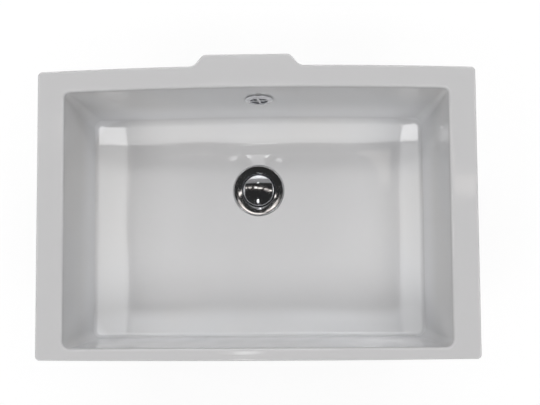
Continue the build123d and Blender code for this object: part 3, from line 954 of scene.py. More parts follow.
    def swelling(self, x: np.ndarray) -> np.ndarray:
        """How far the rim stands out behind at a place along its back.

        The bowed edge falls by the square of x. The swelling has a straight back and
        two slopes, with a hollow round at each foot and a full round at each top.

        Args:
            x: places along the back in millimetres.

        Returns:
            The rim's back edge in millimetres.
        """
        base = self.half_depth - self.back_bow * (x / self.half_width) ** 2
        feet = (self.swell_x - self.swell_half, self.swell_x + self.swell_half)
        heights = [self.half_depth - self.back_bow * (foot / self.half_width) ** 2 for foot in feet]
        ends, near_foot = 40.0, 6.0
        corners = [
            (feet[0] - ends, heights[0], 0.0),
            (feet[0], heights[0], self.swell_foot),
            (feet[0] + self.swell_run, self.swell_back, self.swell_top),
            (feet[1] - self.swell_run, self.swell_back, self.swell_top),
            (feet[1], heights[1], self.swell_foot),
            (feet[1] + ends, heights[1], 0.0),
        ]
        line = rounded(corners, steps=16, closed=False)
        near = np.interp(x, line[:, 0], line[:, 1])
        inside = (x > feet[0] - near_foot) & (x < feet[1] + near_foot)
        return np.where(inside, np.maximum(near, base), base)

    def rim(self) -> np.ndarray:
        """The rim's outline in the bowl's columns.

        Returns:
            Points of two columns in millimetres.
        """
        across, along, out_x, out_y = self.columns
        x = across * (self.half_width - self.rim_corner) + out_x * self.rim_corner
        y = along * (self.half_depth - self.rim_corner) + out_y * self.rim_corner
        sag = (x / self.half_width) ** 2
        y = y - 0.5 * (1.0 + along) * self.back_bow * sag + 0.5 * (1.0 - along) * self.front_bow * sag
        swollen = (along == 1.0) & (np.abs(x - self.swell_x) < self.swell_half + 8.0)
        return np.stack([x, np.where(swollen, self.swelling(x), y)], axis=-1)

    @staticmethod
    def outward(outline: np.ndarray) -> np.ndarray:
        """Level directions at right angles to a closed outline, towards its outside.

        Args:
            outline: its points, of two columns.

        Returns:
            A direction of length 1 for each point.
        """
        ahead = np.roll(outline, -1, axis=0) - np.roll(outline, 1, axis=0)
        normal = np.stack([ahead[:, 1], -ahead[:, 0]], axis=-1)
        return normal / np.linalg.norm(normal, axis=1, keepdims=True)

    def ring(self, radius: float, depth: float, guide: np.ndarray) -> np.ndarray:
        """A circle about the waste, each point in line with the guide's point.

        Args:
            radius: the circle's radius.
            depth: its depth under the rim.
            guide: an outline that gives the directions.

        Returns:
            The circle's points.
        """
        ray = guide[:, :2] - np.array(self.waste)
        ray = ray / np.linalg.norm(ray, axis=1, keepdims=True)
        return raised(np.array(self.waste) + radius * ray, -depth)

    def inside(self) -> np.ndarray:
        """The glazed inside from the lip down to the recess of the waste.

        Returns:
            Its grid: the lip's quarter round, the wall, the knee, the ramps and the floor.
        """
        bend = np.linspace(0.0, QUARTER, self.lip_steps + 1)
        high = self.hole_depth - self.overflow_radius
        low = self.hole_depth + self.overflow_radius
        walls = np.concatenate(
            [
                np.linspace(self.lip, high, self.high_steps + 1)[1:],
                np.linspace(high, low, self.hole_steps + 1)[1:],
            ]
        )
        depth = np.concatenate([self.lip * (1.0 - np.cos(bend)), walls])
        grow = np.concatenate([self.lip * (1.0 - np.sin(bend)), np.zeros(walls.size)])
        upper = self.level(depth, np.zeros(depth.size), grow)
        knee = self.knee_back * (1.0 - np.cos(np.radians(np.linspace(4.5, 76.5, 25))))
        inset = np.concatenate([knee, np.linspace(knee[-1], self.floor_side, 30)[1:]])
        lower = self.drawn_in(inset)
        ring = self.ring(self.floor_radius, 0.0, lower[-1])
        share = np.linspace(0.0, 1.0, 34)[1:, None, None]
        floor = between(lower[-1:], ring[None], share)
        lower = np.concatenate([lower, floor])
        fall = np.concatenate([np.zeros(inset.size), share[:, 0, 0]])[:, None]
        height = self.relief(lower) * (1.0 - fall**4)
        lower[..., 2] = height - self.bed - (self.floor - self.bed) * fall
        share = np.linspace(0.0, 1.0, 15)[1:-1, None, None]
        return np.concatenate([upper, between(upper[-1:], lower[:1], share), lower])

    def rippled(self, points: np.ndarray) -> np.ndarray:
        """Moves the inside by a slow ripple at right angles to its face.

        The ripple is a sum of five sines of the place. It fades out at the lip, at
        the waste and at the rose, which is near only to points on the back wall.

        Args:
            points: the grid of the inside.

        Returns:
            The rippled grid.
        """
        down = np.gradient(points, axis=0)
        around = 0.5 * (np.roll(points, -1, axis=1) - np.roll(points, 1, axis=1))
        normal = np.cross(around, down)
        normal /= np.maximum(np.linalg.norm(normal, axis=-1, keepdims=True), 1e-9)
        waves = np.array(
            [
                (0.083, 0.021, 0.034, 0.3),
                (-0.027, 0.071, 0.052, 1.9),
                (0.046, -0.058, 0.019, 4.0),
                (0.012, 0.112, -0.040, 2.6),
                (0.128, 0.018, 0.061, 5.2),
            ]
        )
        phase = np.tensordot(points, waves[:, :3].T, axes=1) + waves[:, 3]
        height = np.sin(phase).sum(axis=-1) * self.wave
        rose = np.array((self.hole_x, points[..., 1].max(), -self.hole_depth))
        from_rose = np.linalg.norm((points - rose)[..., [0, 2]], axis=-1)
        from_rose = from_rose + (points[..., 1] < 100.0) * 99.0
        from_waste = np.linalg.norm(points[..., :2] - np.array(self.waste), axis=-1)
        height = height * smooth_step((from_rose - 18.0) / 20.0)
        height = height * smooth_step((from_waste - self.floor_radius) / 30.0)
        height = height * smooth_step(-points[..., 2] / 6.0)
        return points + normal * height[..., None]

    def overflow_edge(self, points: np.ndarray) -> np.ndarray:
        """Turns the square of the grid at the overflow into a circle.

        A point at a, b from the hole's middle goes along its own ray to the distance
        that is the larger of a and b, fully in the hole and fading out beyond it.

        Args:
            points: the grid of the inside.

        Returns:
            The changed grid.
        """
        below = 9
        rows = slice(self.lip_steps, self.lip_steps + self.high_steps + self.hole_steps + below)
        columns = np.flatnonzero(self.behind & (np.abs(self.columns[0]) < 0.2))
        block = points[rows][:, columns]
        fall = self.lean_back / self.wall_depth
        slant = math.hypot(1.0, fall)
        across = block[..., 0] - self.hole_x
        down = (-block[..., 2] - self.hole_depth) * slant
        square = np.maximum(np.abs(across), np.abs(down))
        far = np.maximum(np.hypot(across, down), 1e-9)
        weight = 1.0 - smooth_step((square / self.overflow_radius - 1.0) / 0.7)
        scale = 1.0 - weight + weight * square / far
        x = self.hole_x + across * scale
        depth = self.hole_depth + down * scale / slant
        lean = depth / self.wall_depth
        half = self.side - self.lean_side * lean
        y = self.back - self.lean_back * lean - self.bowing(x - self.shift * lean, half)
        points = points.copy()
        points[rows.start : rows.stop, columns] = np.stack([x, y, -depth], axis=-1)
        return points

    def outside(self) -> list[np.ndarray]:
        """The levels from the waste's recess round the outside and back to the lip.

        Returns:
            Grids in order: recess and hole, boss, shell, rim.
        """
        foot = self.level([self.wall_depth], [1.0], [0.0])[0]
        recess = [
            (self.recess_radius + 0.8, self.floor),
            (self.recess_radius + 0.25, self.floor + 0.25),
            (self.recess_radius, self.floor + 0.8),
            (self.recess_radius, self.recess_depth),
            (self.hole_radius, self.recess_depth),
            (self.hole_radius, self.boss_foot - 0.6),
            (self.hole_radius + 0.6, self.boss_foot),
            (self.boss_radius - self.boss_round, self.boss_foot),
        ]
        bend = np.linspace(0.0, QUARTER, 8)[1:]
        arc = zip(
            self.boss_radius - self.boss_round * (1.0 - np.sin(bend)),
            self.boss_foot - self.boss_round * (1.0 - np.cos(bend)),
        )
        rings = [self.ring(radius, depth, foot) for radius, depth in (*recess, *arc)]
        rings.append(self.ring(self.boss_radius, self.underside, foot))
        turn = np.radians(np.linspace(90.0, 0.0, 20))
        depth = self.wall_depth + (self.underside - self.wall_depth) * np.sin(turn)
        depth = np.concatenate([depth, np.linspace(self.wall_depth, self.rim_thickness, 9)[1:]])
        run = np.concatenate([1.0 - np.cos(turn), np.zeros(8)])
        shell = self.level(depth, run, np.full(depth.size, self.wall))
        share = np.linspace(0.0, 1.0, 8)[1:-1, None, None]
        under = between(rings[-1][None], shell[:1], share)
        outline = self.rim()
        normal = self.outward(outline)
        low = np.linspace(0.0, QUARTER, 5)
        high = np.linspace(0.0, QUARTER, 7)
        inset = np.concatenate(
            [self.foot_edge * (1.0 - np.sin(low)), self.rim_edge * (1.0 - np.cos(high))]
        )
        height = np.concatenate(
            [
                -self.rim_thickness + self.foot_edge * (1.0 - np.cos(low)),
                -self.rim_edge * (1.0 - np.sin(high)),
            ]
        )
        edge = outline[None] - normal[None] * inset[:, None, None]
        level = np.broadcast_to(height[:, None, None], (*edge.shape[:2], 1))
        edge = np.concatenate([edge, level], axis=-1)
        ledge = between(shell[-1:], edge[:1], share)
        mouth = self.level([0.0], [0.0], [self.lip])
        share = np.linspace(0.0, 1.0, 10)[1:-1, None, None]
        top = between(edge[-1:], mouth, share)
        top[..., 2] -= self.top_hollow * self.top_wave(top) * np.sin(math.pi * share[..., 0])
        return [np.stack(rings), under, shell, ledge, edge, top]

    @staticmethod
    def top_wave(points: np.ndarray) -> np.ndarray:
        """Slow hollows of the rim's top from 0 to 1: two sines of the place."""
        x, y = points[..., 0], points[..., 1]
        return 0.5 + 0.25 * np.sin(0.034 * x + 0.021 * y) + 0.25 * np.sin(0.019 * x - 0.047 * y + 1.3)

    def build_casting(self) -> bpy.types.Object:
        """The casting as one grid of inside, waste hole, outside and rim.

        The grid closes on itself, and only the faces in the overflow hole are left out.

        Returns:
            The piece.
        """
        inside = self.overflow_edge(self.rippled(self.inside()))
        levels = np.concatenate([inside, *self.outside()])
        patch = Patch(levels, loop=True)
        count = levels.shape[1]
        row, column = np.divmod(np.arange(levels.shape[0] * count), count)
        share = self.columns[0]
        left, right = self.hole_share(-1) - 1e-9, self.hole_share(1) + 1e-9
        hole = self.behind & (share <= right) & (np.roll(share, -1) >= left)
        first = self.lip_steps + self.high_steps
        kept = ~((row >= first) & (row < first + self.hole_steps) & hole[column])
        piece = make_piece("basin_casting", [patch], crease=50.0, kept=kept)
        mark_upward(piece)
        return piece

    def duct_front(self, height: float) -> float:
        """Where the duct's front lies hidden: in the middle of the wall, then in the boss.

        Args:
            height: the height of the level.

        Returns:
            The front's place in millimetres.
        """
        half_wall = 0.5 * self.wall
        lean = min(-height / self.wall_depth, 1.0)
        sink = min(max(-height - self.wall_depth, 0.0) / self.duct_sink, 1.0)
        if sink == 1.0:
            return self.waste[1] + self.duct_reach
        run = 1.0 - math.sqrt(1.0 - sink * sink)
        return self.back - self.lean_back * lean - (self.shell_end + half_wall) * run + half_wall - 0.6

    def duct_level(self, height: float) -> np.ndarray:
        """A level outline of the duct's hull: a straight front and a rounded back.

        Args:
            height: its height.

        Returns:
            Points of two columns.
        """
        top = -0.5 * self.rim_thickness
        share = (top - height) / (top + self.duct_foot)
        middle = self.swell_x + (self.waste[0] - self.swell_x) * share
        wide = 2.0 * (self.swell_half - self.swell_run)
        half = 0.5 * (wide + (self.duct_width - wide) * share)
        back = self.swell_back + (self.duct_back - self.swell_back) * share
        front = self.duct_front(height)
        corners = [
            (middle - half, front, self.duct_edge),
            (middle + half, front, self.duct_edge),
            (middle + half, back, self.duct_corner),
            (middle - half, back, self.duct_corner),
        ]
        return self.spaced(rounded(corners, steps=8))

    @staticmethod
    def spaced(outline: np.ndarray, gap: float = 4.0) -> np.ndarray:
        """Adds points to the long lines of a closed outline.

        Args:
            outline: the outline, four arcs of nine points.
            gap: about how far the new points lie apart.

        Returns:
            The outline with its straight lines divided.
        """
        count = int(120.0 / gap)
        parts = []
        for start in range(0, len(outline), 9):
            parts.append(outline[start : start + 9])
            ends = outline[start + 8], outline[(start + 9) % len(outline)]
            share = np.linspace(0.0, 1.0, count + 1)[1:-1, None]
            parts.append(between(*ends, share))
        return np.concatenate(parts)

    def build_duct(self) -> bpy.types.Object:
        """The overflow duct's hull from the rim down behind and under the bowl.

        Its level outlines are stacked, and come in by a quarter round at its foot.

        Returns:
            The piece.
        """
        round_off = np.linspace(0.0, QUARTER, 7)
        sink = self.wall_depth + self.duct_sink
        heights = np.concatenate(
            [
                np.linspace(-0.5 * self.rim_thickness, -self.wall_depth, 12),
                -self.wall_depth - self.duct_sink * np.sin(round_off[1:]) + 0.001,
                np.linspace(-sink, self.duct_foot_corner - self.duct_foot, 8),
                -self.duct_foot + self.duct_foot_corner * (1.0 - np.sin(round_off[1:])),
            ]
        )
        straight = heights.size - round_off.size + 1
        foot_insets = self.duct_foot_corner * (1.0 - np.cos(round_off[1:]))
        insets = np.concatenate([np.zeros(straight), foot_insets])
        levels = []
        for height, inset in zip(heights, insets):
            outline = self.duct_level(float(height))
            levels.append(raised(outline - self.outward(outline) * inset, height))
        grid = np.stack(levels)
        share = np.array([0.35, 0.7, 1.0])[:, None, None]
        foot = between(grid[-1:], grid[-1].mean(axis=0), share)
        head = between(grid[:1], grid[0].mean(axis=0), share[::-1])
        return make_piece("basin_duct", [Patch(np.concatenate([head, grid, foot]))], crease=40.0)

    def build_overflow_way(self) -> bpy.types.Object:
        """The overflow hole through the wall and the hollow of the duct behind it.

        A profile of radius and depth goes round the hole's axis, which leans with
        the wall; its faces look into the hollow.

        Returns:
            The piece.
        """
        profile = rounded(
            [
                (self.overflow_radius, 0.0, 0.0),
                (self.overflow_radius, self.wall, 0.0),
                (self.cavity_radius, self.wall, 2.0),
                (self.cavity_radius, self.cavity_depth, 4.0),
                (0.0, self.cavity_depth, 0.0),
            ],
            closed=False,
        )
        angle = np.linspace(0.0, TURN, 56, endpoint=False)
        lean = math.atan(self.lean_back / self.wall_depth)
        into = np.array((0.0, math.cos(lean), -math.sin(lean)))
        upward = np.array((0.0, math.sin(lean), math.cos(lean)))
        y = self.back - self.lean_back * self.hole_depth / self.wall_depth
        middle = np.array((self.hole_x, y, -self.hole_depth))
        radius, depth = profile[:, 0, None, None], profile[:, 1, None, None]
        around = np.cos(angle)[:, None] * np.array((1.0, 0.0, 0.0)) + np.sin(angle)[:, None] * upward
        points = middle + radius * around[None] + depth * into
        way = make_piece("basin_overflow_way", [Patch(points)])
        way.data.flip_normals()
        return way

    def build(self) -> None:
        """Builds the casting's pieces and glazes them."""
        mount(self.build_casting(), "bowl", GLAZE, ("basin",))
        mount(self.build_duct(), "bowl", GLAZE)
        mount(self.build_overflow_way(), "bowl", GLAZE)


@dataclass
class Waste:
    """The chrome waste: flange, cage with windows, threaded tail and spider."""

    centre: tuple[float, float] = WASTE_CENTRE
    floor: float = -FLOOR_DEPTH
    flange_radius: float = 32.25
    flange_foot: float = -142.5
    lip: float = 1.8
    flange_round: float = 0.5
    dish_radius: float = 22.0
    dish_rise: float = 1.03
    dish_hollow: float = -0.12
    throat_depth: float = 7.0
    bore: float = 17.5
    thread_radius: float = 20.95
    neck_radius: float = 22.7
    neck_z: float = -149.0
    window_top: float = -150.0
    window_foot: float = -165.0
    window_width: float = 18.0
    relief_top: float = -205.3
    relief_foot: float = -206.8
    relief_radius: float = 19.95
    tail: float = -225.0
    pitch: float = 2.309
    thread_depth: float = 0.75
    spider_top: float = -183.35
    spider_height: float = 6.0
    spider_width: float = 4.0
    hub_radius: float = 8.0
    stud_radius: float = 5.05

    def flange_profile(self) -> np.ndarray:
        """The flange's profile: a rounded shoulder and a dish that bends like an arc.

        Returns:
            Radius and height of each point.
        """
        shoulder = (self.flange_radius - self.flange_round, self.floor + self.lip)
        foot = (self.dish_radius, self.floor + self.dish_rise)
        bend = np.linspace(0.0, QUARTER, 12)
        edge = np.stack(
            [
                self.flange_radius - self.flange_round * (1.0 - np.cos(bend)),
                self.floor + self.lip - self.flange_round * (1.0 - np.sin(bend)),
            ],
            axis=-1,
        )
        share = np.linspace(0.0, 1.0, 20)[1:]
        hollow = 4.0 * self.dish_hollow * share * (1.0 - share)
        dish = np.stack(
            [
                shoulder[0] + (foot[0] - shoulder[0]) * share,
                shoulder[1] + (foot[1] - shoulder[1]) * share - hollow,
            ],
            axis=-1,
        )
        rest = rounded(
            [
                (*foot, 0.0),
                (self.dish_radius - 0.25, self.floor + self.dish_rise - 0.4, 0.3),
                (self.bore, self.floor - self.throat_depth, 1.5),
                (self.bore, self.window_top, 0.3),
                (self.thread_radius, self.window_top, 0.3),
                (self.thread_radius, self.neck_z, 0.3),
                (self.neck_radius, self.neck_z + 1.75, 0.3),
                (self.neck_radius, self.flange_foot, 0.3),
                (self.flange_radius - 0.4, self.flange_foot, 0.0),
                (self.flange_radius, self.flange_foot + 0.4, 0.0),
            ],
            steps=4,
            closed=False,
        )
        return np.concatenate([edge, dish, rest[1:]])

    def build_flange(self) -> bpy.types.Object:
        """The flange with its throat and neck, turned from one closed profile."""
        return make_piece("waste_flange", [turned(self.flange_profile(), self.centre, 160)])

    def build_cage(self) -> bpy.types.Object:
        """The four pillars between the overflow windows.

        Each is a piece of the tube between two flat window sides: an outer arc, a
        side, an inner arc and a side, carried upwards.

        Returns:
            The piece.
        """
        half = 0.5 * self.window_width
        outer, inner = math.asin(half / self.thread_radius), math.asin(half / self.bore)
        out_arc = np.linspace(outer, QUARTER - outer, 12)
        in_arc = np.linspace(QUARTER - inner, inner, 12)
        ring = np.concatenate(
            [
                self.thread_radius * np.stack([np.cos(out_arc), np.sin(out_arc)], axis=-1),
                self.bore * np.stack([np.cos(in_arc), np.sin(in_arc)], axis=-1),
            ]
        )
        heights = np.array([self.window_foot - 0.2, self.window_top + 0.2])
        middle = ring.mean(axis=0)
        patches = []
        for quarter in range(4):
            turn = (quarter + 0.5) * QUARTER
            spin = np.array(((math.cos(turn), math.sin(turn)), (-math.sin(turn), math.cos(turn))))
            outline = ring @ spin + np.array(self.centre)
            hub = middle @ spin + np.array(self.centre)
            end = np.broadcast_to(hub, outline.shape)
            rows = [
                raised(row, height)
                for height, pair in zip(heights, ((end, outline), (outline, end)))
                for row in pair
            ]
            patches.append(Patch(np.stack(rows)))
        return make_piece("waste_cage", patches)

    def build_tail(self) -> bpy.types.Object:
        """The threaded tube: its radius dips once in each pitch of the helix.

        At height z and angle a the radius is the crest less the thread's depth
        times a smooth tooth of z over the pitch plus a over a full turn.

        Returns:
            The piece.
        """
        angle = np.linspace(0.0, TURN, 96, endpoint=False)
        low, high = self.tail + 1.2, self.window_foot
        rows = int((high - low) / self.pitch * 10)
        height = np.linspace(high, low, rows)[:, None]
        tooth = 0.5 - 0.5 * np.cos(TURN * (height / self.pitch + angle / TURN))
        ends = smooth_step((high - 0.6 - height) / 1.5) * smooth_step((height - low) / 1.0)
        groove = (height < self.relief_top) & (height > self.relief_foot)
        radius = self.thread_radius - self.thread_depth * tooth**1.4 * ends
        radius = np.where(groove, self.relief_radius, radius)
        up = np.broadcast_to(height, radius.shape)
        outer = np.stack([radius * np.cos(angle), radius * np.sin(angle), up], axis=-1)
        outer[..., :2] += self.centre
        rest = rounded(
            [
                (self.thread_radius - 1.0, self.tail, 0.0),
                (self.bore + 0.5, self.tail, 0.0),
                (self.bore, self.tail + 0.5, 0.0),
                (self.bore, self.window_foot - 20.0, 0.0),
                (self.bore, self.window_foot, 0.0),
            ],
            closed=False,
        )
        inner = turned(rest, self.centre, 96).points
        return make_piece("waste_tail", [Patch(np.concatenate([outer, inner]), loop=True)])

    def build_spider(self) -> bpy.types.Object:
        """The hub on three arms: an upright ring, and bars with rounded edges.

        Returns:
            The piece.
        """
        top, foot = self.spider_top, self.spider_top - self.spider_height
        hub = rounded(
            [
                (self.stud_radius, foot, 0.4),
                (self.hub_radius, foot, 0.8),
                (self.hub_radius, top, 0.5),
                (self.stud_radius, top, 0.4),
            ],
            steps=4,
        )
        patches = [turned(hub, self.centre, 48)]
        half = 0.5 * self.spider_width
        corners = [(-half, foot, 0.7), (half, foot, 0.7), (half, top, 0.7), (-half, top, 0.7)]
        section = rounded(corners, steps=4)
        start, end = self.hub_radius - 1.5, self.bore + 0.4
        reach = np.array([start, start, end, end])
        scale = np.array([0.0, 1.0, 1.0, 0.0])
        middle = np.array((0.0, 0.5 * (top + foot)))
        for arm in range(3):
            turn = QUARTER + arm * TURN / 3.0
            along = np.array((math.cos(turn), math.sin(turn)))
            aside = np.array((-math.sin(turn), math.cos(turn)))
            shape = middle + (section[None] - middle) * scale[:, None, None]
            flat = np.array(self.centre) + reach[:, None, None] * along + shape[..., :1] * aside
            patches.append(Patch(np.concatenate([flat, shape[..., 1:]], axis=-1)))
        return make_piece("waste_spider", patches)

    def build(self) -> None:
        """Builds the waste's pieces and plates them."""
        mount(self.build_flange(), "bowl", WASTE_CHROME, ("waste_body",))
        mount(self.build_cage(), "bowl", WASTE_CHROME)
        mount(self.build_tail(), "bowl", WASTE_CHROME)
        mount(self.build_spider(), "bowl", WASTE_CHROME)


@dataclass
class Plug:
    """The domed chrome cap of the push-open plug."""

    centre: tuple[float, float] = WASTE_CENTRE
    radius: float = 19.7
    crown: float = -136.6
    rise: float = 1.8
    edge: float = 0.7
    plate: float = -141.9
    recess_radius: float = 12.0
    lip_foot: float = -146.1
    lip_reach: float = 1.5
    seal_foot: float = -144.9
    boss_radius: float = 6.5
    boss_foot: float = -148.7

    def build(self) -> None:
        """Builds the cap from a profile: an arc for the crown, an edge and the underside."""
        share = np.linspace(0.0, 1.0, 26)
        sphere = (self.radius**2 + self.rise**2) / (2.0 * self.rise)
        reach = (self.radius - 0.4) * share
        top = np.stack([reach, self.crown - sphere + np.sqrt(sphere**2 - reach**2)], axis=-1)
        brim = self.crown - self.rise
        rest = rounded(
            [
                (*top[-1], 0.0),
                (self.radius, brim, self.edge),
                (self.radius, self.plate, 0.5),
                (self.recess_radius, self.plate, 0.3),
                (self.recess_radius, self.seal_foot, 0.0),
                (self.recess_radius + self.lip_reach, self.seal_foot, 0.2),
                (self.recess_radius + self.lip_reach, self.lip_foot, 0.4),
                (self.boss_radius, self.lip_foot, 0.4),
                (self.boss_radius, self.boss_foot, 0.4),
                (0.0, self.boss_foot, 0.0),
            ],
            steps=6,
            closed=False,
        )
        profile = np.concatenate([top, rest[1:]])
        cap = make_piece("plug_dome", [turned(profile, self.centre, 128, loop=False)])
        mount(cap, "plug", CAP_CHROME, ("plug_cap",))


@dataclass
class Fittings:
    """The frame's own nodes that keep their shape and take a finish."""

    finishes: dict[str, Finish] = field(
        default_factory=lambda: {
            "overflow_rose": ROSE_CHROME,
            "overflow_gasket": BLACK_RUBBER,
            "overflow_bush": WHITE_PLASTIC,
            "flange_gasket": GREY_RUBBER,
            "cone_washer": BLACK_RUBBER,
            "slip_washer": WHITE_PLASTIC,
            "lock_nut": BRASS,
            "plug_seal": BLACK_RUBBER,
            "plug_stem": CARTRIDGE_PLASTIC,
            "ratchet_rotor": WHITE_PLASTIC,
            "cartridge_spring": STEEL,
            "cartridge_housing": CARTRIDGE_PLASTIC,
            "guide_sleeve": WHITE_PLASTIC,
            "cartridge_base": CARTRIDGE_PLASTIC,
            "stem_seal": BLACK_RUBBER,
            "hub_nut": BRASS,
        }
    )

    def build(self) -> None:
        """Dresses every node of the list."""
        for node, finish in self.finishes.items():
            dress(node, finish)


@dataclass
class Studio:
    """Floor, soft light from a ring of panels overhead, and the camera.

    Places and sizes are in metres, and a radiance of 1 is white. A lamp overhead
    fills a span of directions, in degrees from upright as the waste sees them, from
    left to right and from front to back. Each group of lamps hangs by its own drop
    under the panels, and each patch a step lower, so that lamps that overlap don't
    lie in one plane.
    """

    floor_z: float = -0.2256
    floor_half: float = 6.0
    paper: float = 0.86
    paper_shade: float = 0.84
    backdrop_share: float = 0.88
    fill: float = 0.03
    zenith: float = 0.45
    dark: float = 0.03
    zenith_edge: tuple[float, float] = (0.70, 0.82)
    panel_height: float = 4.0
    outer: float = 40.0
    opening: Span = (-24.0, 19.0, -19.5, 17.0)
    left_light: float = 1.95
    right_light: float = 2.05
    front_light: float = 2.4
    back_light: float = 0.30
    strips: tuple[tuple[str, Span, float, float], ...] = (
        ("panel_back_far", (-40.0, 40.0, 28.0, 46.0), 1.1, 0.1),
        ("strip_back", (-30.0, 30.0, 23.6, 30.0), 0.9, 0.15),
        ("strip_line", (-30.0, 30.0, 29.0, 35.0), 7.0, 0.2),
    )
    patch_drop: float = 0.12
    patch_step: float = 0.01
    patches: tuple[tuple[Span, float], ...] = (
        ((-44.0, -22.0, -38.0, -17.0), 2.3),
        ((-42.0, -24.0, -35.0, -19.0), 2.3),
        ((-39.0, -26.0, -32.0, -21.5), 2.0),
        ((17.0, 34.0, -36.0, -17.0), 1.9),
        ((19.0, 32.0, -34.0, -19.0), 1.9),
        ((21.0, 30.0, -31.0, -21.5), 1.8),
    )
    window_size: tuple[float, float] = (5.0, 1.8)
    window_height: float = 2.7
    windows: tuple[tuple[str, float, float], ...] = (
        ("window", 3.6, 1.2),
        ("window_front", -3.6, 0.2),
    )
    spark_drop: float = 0.25
    sparks: tuple[tuple[Span, float], ...] = (
        ((-4.4, -2.6, -12.5, -8.0), 5.0),
        ((-3.4, -1.0, -19.4, -18.2), 10.0),
        ((-4.0, -3.0, 16.5, 17.5), 5.0),
    )
    glow_drop: float = 0.03
    glow_light: float = 1.9
    glow_tint: Tint = (1.0, 0.93, 0.87)
    glow: tuple[Span, ...] = (
        (-22.2, -20.2, 9.0, 11.0),
        (-17.5, -13.5, 9.0, 11.2),
        (-8.8, -4.4, 8.6, 11.2),
        (-3.3, 3.0, 8.0, 9.8),
        (5.8, 11.0, 6.4, 8.2),
        (11.0, 17.0, 4.6, 6.4),
    )
    lens: float = 63.910
    sensor: float = 36.0
    nearest: float = 0.01
    camera_place: tuple[float, float, float] = (0.049513, -0.070965, 1.100926)
    camera_turn: tuple[float, float, float] = (4.1933, 1.7568, -0.3921)

    def build_floor(self) -> None:
        """A pale floor that is nearly white to the camera, and keeps part of the shadow."""
        half = self.floor_half
        place = np.linspace(-half, half, 9)
        x, y = np.meshgrid(place, place)
        points = np.stack([x, y, np.full_like(x, self.floor_z)], axis=-1)
        patch = Patch(points, ring=False)
        mesh = bpy.data.meshes.new("studio_floor")
        mesh.from_pydata(points.reshape(-1, 3), [], patch.quads().tolist())
        floor = bpy.data.objects.new("studio_floor", mesh)
        bpy.context.scene.collection.objects.link(floor)
        material = bpy.data.materials.new("studio_floor_paper")
        shader = Shader(material)
        rays = self.seen(shader)
        grain = shader.noise(scale=3.0, detail=3.0).fade(0.3, 0.7)
        tone = shader.blend(grain, colour(*(self.paper,) * 3), colour(*(self.paper_shade,) * 3))
        paper = shader.node("ShaderNodeBsdfDiffuse", None, {"Color": tone})
        glow = shader.node("ShaderNodeEmission", None, {"Strength": 1.0})
        sockets = {0: rays * self.backdrop_share, 1: paper.outputs[0], 2: glow.outputs[0]}
        mixed = shader.node("ShaderNodeMixShader", None, sockets)
        shader.node("ShaderNodeOutputMaterial", None, {"Surface": mixed.outputs[0]})
        mesh.materials.append(material)

    @staticmethod
    def seen(shader: Shader) -> Value:
        """Which rays show the backdrop.

        Args:
            shader: the material's or the world's shader.

        Returns:
            1 for rays of the camera, of reflections and of clear materials, 0 for light.
        """
        path = shader.node("ShaderNodeLightPath")
        camera, glossy, clear = (
            Value(shader, path.outputs[name])
            for name in ("Is Camera Ray", "Is Glossy Ray", "Is Transmission Ray")
        )
        return (camera + glossy + clear).step(Step.LEAST, 1.0)

    def build_world(self) -> None:
        """White surroundings with a dark opening overhead.

        What they show isn't what they light with: surfaces get a faint fill from the
        sides and a soft light from overhead.
        """
        world = bpy.data.worlds.new("studio_air")
        bpy.context.scene.world = world
        shader = Shader(world)
        direction = shader.node("ShaderNodeTexCoord").outputs["Generated"]
        up = Value(shader, shader.node("ShaderNodeSeparateXYZ", None, {0: direction}).outputs[2])
        overhead = up.fade(*self.zenith_edge)
        light = self.fill * (1.0 - overhead) + self.zenith * overhead
        shown = (1.0 - overhead) + self.dark * overhead
        rays = self.seen(shader)
        level = light * (1.0 - rays) + shown * rays
        background = shader.node("ShaderNodeBackground", None, {"Strength": level})
        shader.node("ShaderNodeOutputWorld", None, {"Surface": background.outputs[0]})

    def lamp(
        self,
        name: str,
        size: tuple[float, float],
        place: tuple[float, float, float],
        radiance: float,
        tint: Tint = (1.0, 1.0, 1.0),
        aimed: bool = False,
    ) -> None:
        """Adds a rectangular lamp.

        Args:
            name: its name.
            size: its width and depth in metres.
            place: its middle.
            radiance: how bright it is, where 1 is white.
            tint: its colour.
            aimed: whether it looks at the bowl and not straight down.
        """
        light = bpy.data.lights.new(name, "AREA")
        light.shape = "RECTANGLE"
        light.size, light.size_y = size
        light.energy = radiance * math.pi * size[0] * size[1]
        light.color = tint
        lamp = bpy.data.objects.new(name, light)
        lamp.location = place
        if aimed:
            lamp.rotation_euler = (-Vector(place)).to_track_quat("-Z", "Y").to_euler()
        lamp.visible_camera = False
        bpy.context.scene.collection.objects.link(lamp)

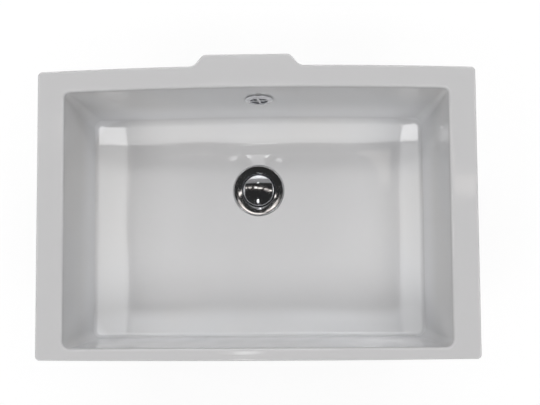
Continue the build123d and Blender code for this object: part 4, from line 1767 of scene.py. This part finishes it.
    def overhead(
        self,
        name: str,
        span: Span,
        radiance: float,
        tint: Tint = (1.0, 1.0, 1.0),
        lower: float = 0.0,
    ) -> None:
        """Adds a level lamp that fills a span of directions as the waste sees them.

        Args:
            name: its name.
            span: degrees from upright, from left to right and from front to back.
            radiance: how bright it is.
            tint: its colour.
            lower: how far under the panels it hangs, in metres.
        """
        height = self.panel_height - lower
        left, right, front, back = (height * math.tan(math.radians(angle)) for angle in span)
        middle = (0.5 * (left + right), 0.5 * (front + back), height)
        self.lamp(name, (right - left, back - front), middle, radiance, tint)

    def build_light(self) -> None:
        """Panels round a dark opening, strips, patches, two windows and lamps for the sparkle."""
        left, right, front, back = self.opening
        outer = self.outer
        self.overhead("panel_left", (-outer, left, -outer, outer), self.left_light)
        self.overhead("panel_right", (right, outer, -outer, outer), self.right_light)
        self.overhead("panel_front", (left, right, -outer, front), self.front_light)
        self.overhead("panel_back", (left, right, back, outer), self.back_light)
        for name, span, radiance, drop in self.strips:
            self.overhead(name, span, radiance, lower=drop)
        for number, (span, radiance) in enumerate(self.patches):
            drop = self.patch_drop + self.patch_step * number
            self.overhead(f"patch_{number}", span, radiance, lower=drop)
        for name, along, radiance in self.windows:
            place = (0.0, along, self.window_height)
            self.lamp(name, self.window_size, place, radiance, aimed=True)
        for number, (span, radiance) in enumerate(self.sparks):
            self.overhead(f"spark_{number}", span, radiance, lower=self.spark_drop)
        for number, span in enumerate(self.glow):
            self.overhead(f"glow_{number}", span, self.glow_light, self.glow_tint, self.glow_drop)

    def build_camera(self) -> None:
        """The camera of the picture."""
        data = bpy.data.cameras.new("camera")
        data.lens = self.lens
        data.sensor_width = self.sensor
        data.clip_start = self.nearest
        camera = bpy.data.objects.new("camera", data)
        camera.location = self.camera_place
        camera.rotation_euler = tuple(math.radians(angle) for angle in self.camera_turn)
        bpy.context.scene.collection.objects.link(camera)
        bpy.context.scene.camera = camera

    def build(self) -> None:
        """Builds floor, world, lamps and camera, and sets the plain view."""
        self.build_floor()
        self.build_world()
        self.build_light()
        self.build_camera()
        bpy.context.scene.view_settings.view_transform = "Standard"


def main() -> None:
    """Builds every sub-assembly in order."""
    logging.basicConfig(level=logging.INFO, format="%(message)s")
    for assembly in (Basin(), Waste(), Plug(), Fittings(), Studio()):
        assembly.build()
        log.info("%s built", type(assembly).__name__)


if __name__ == "__main__":
    main()
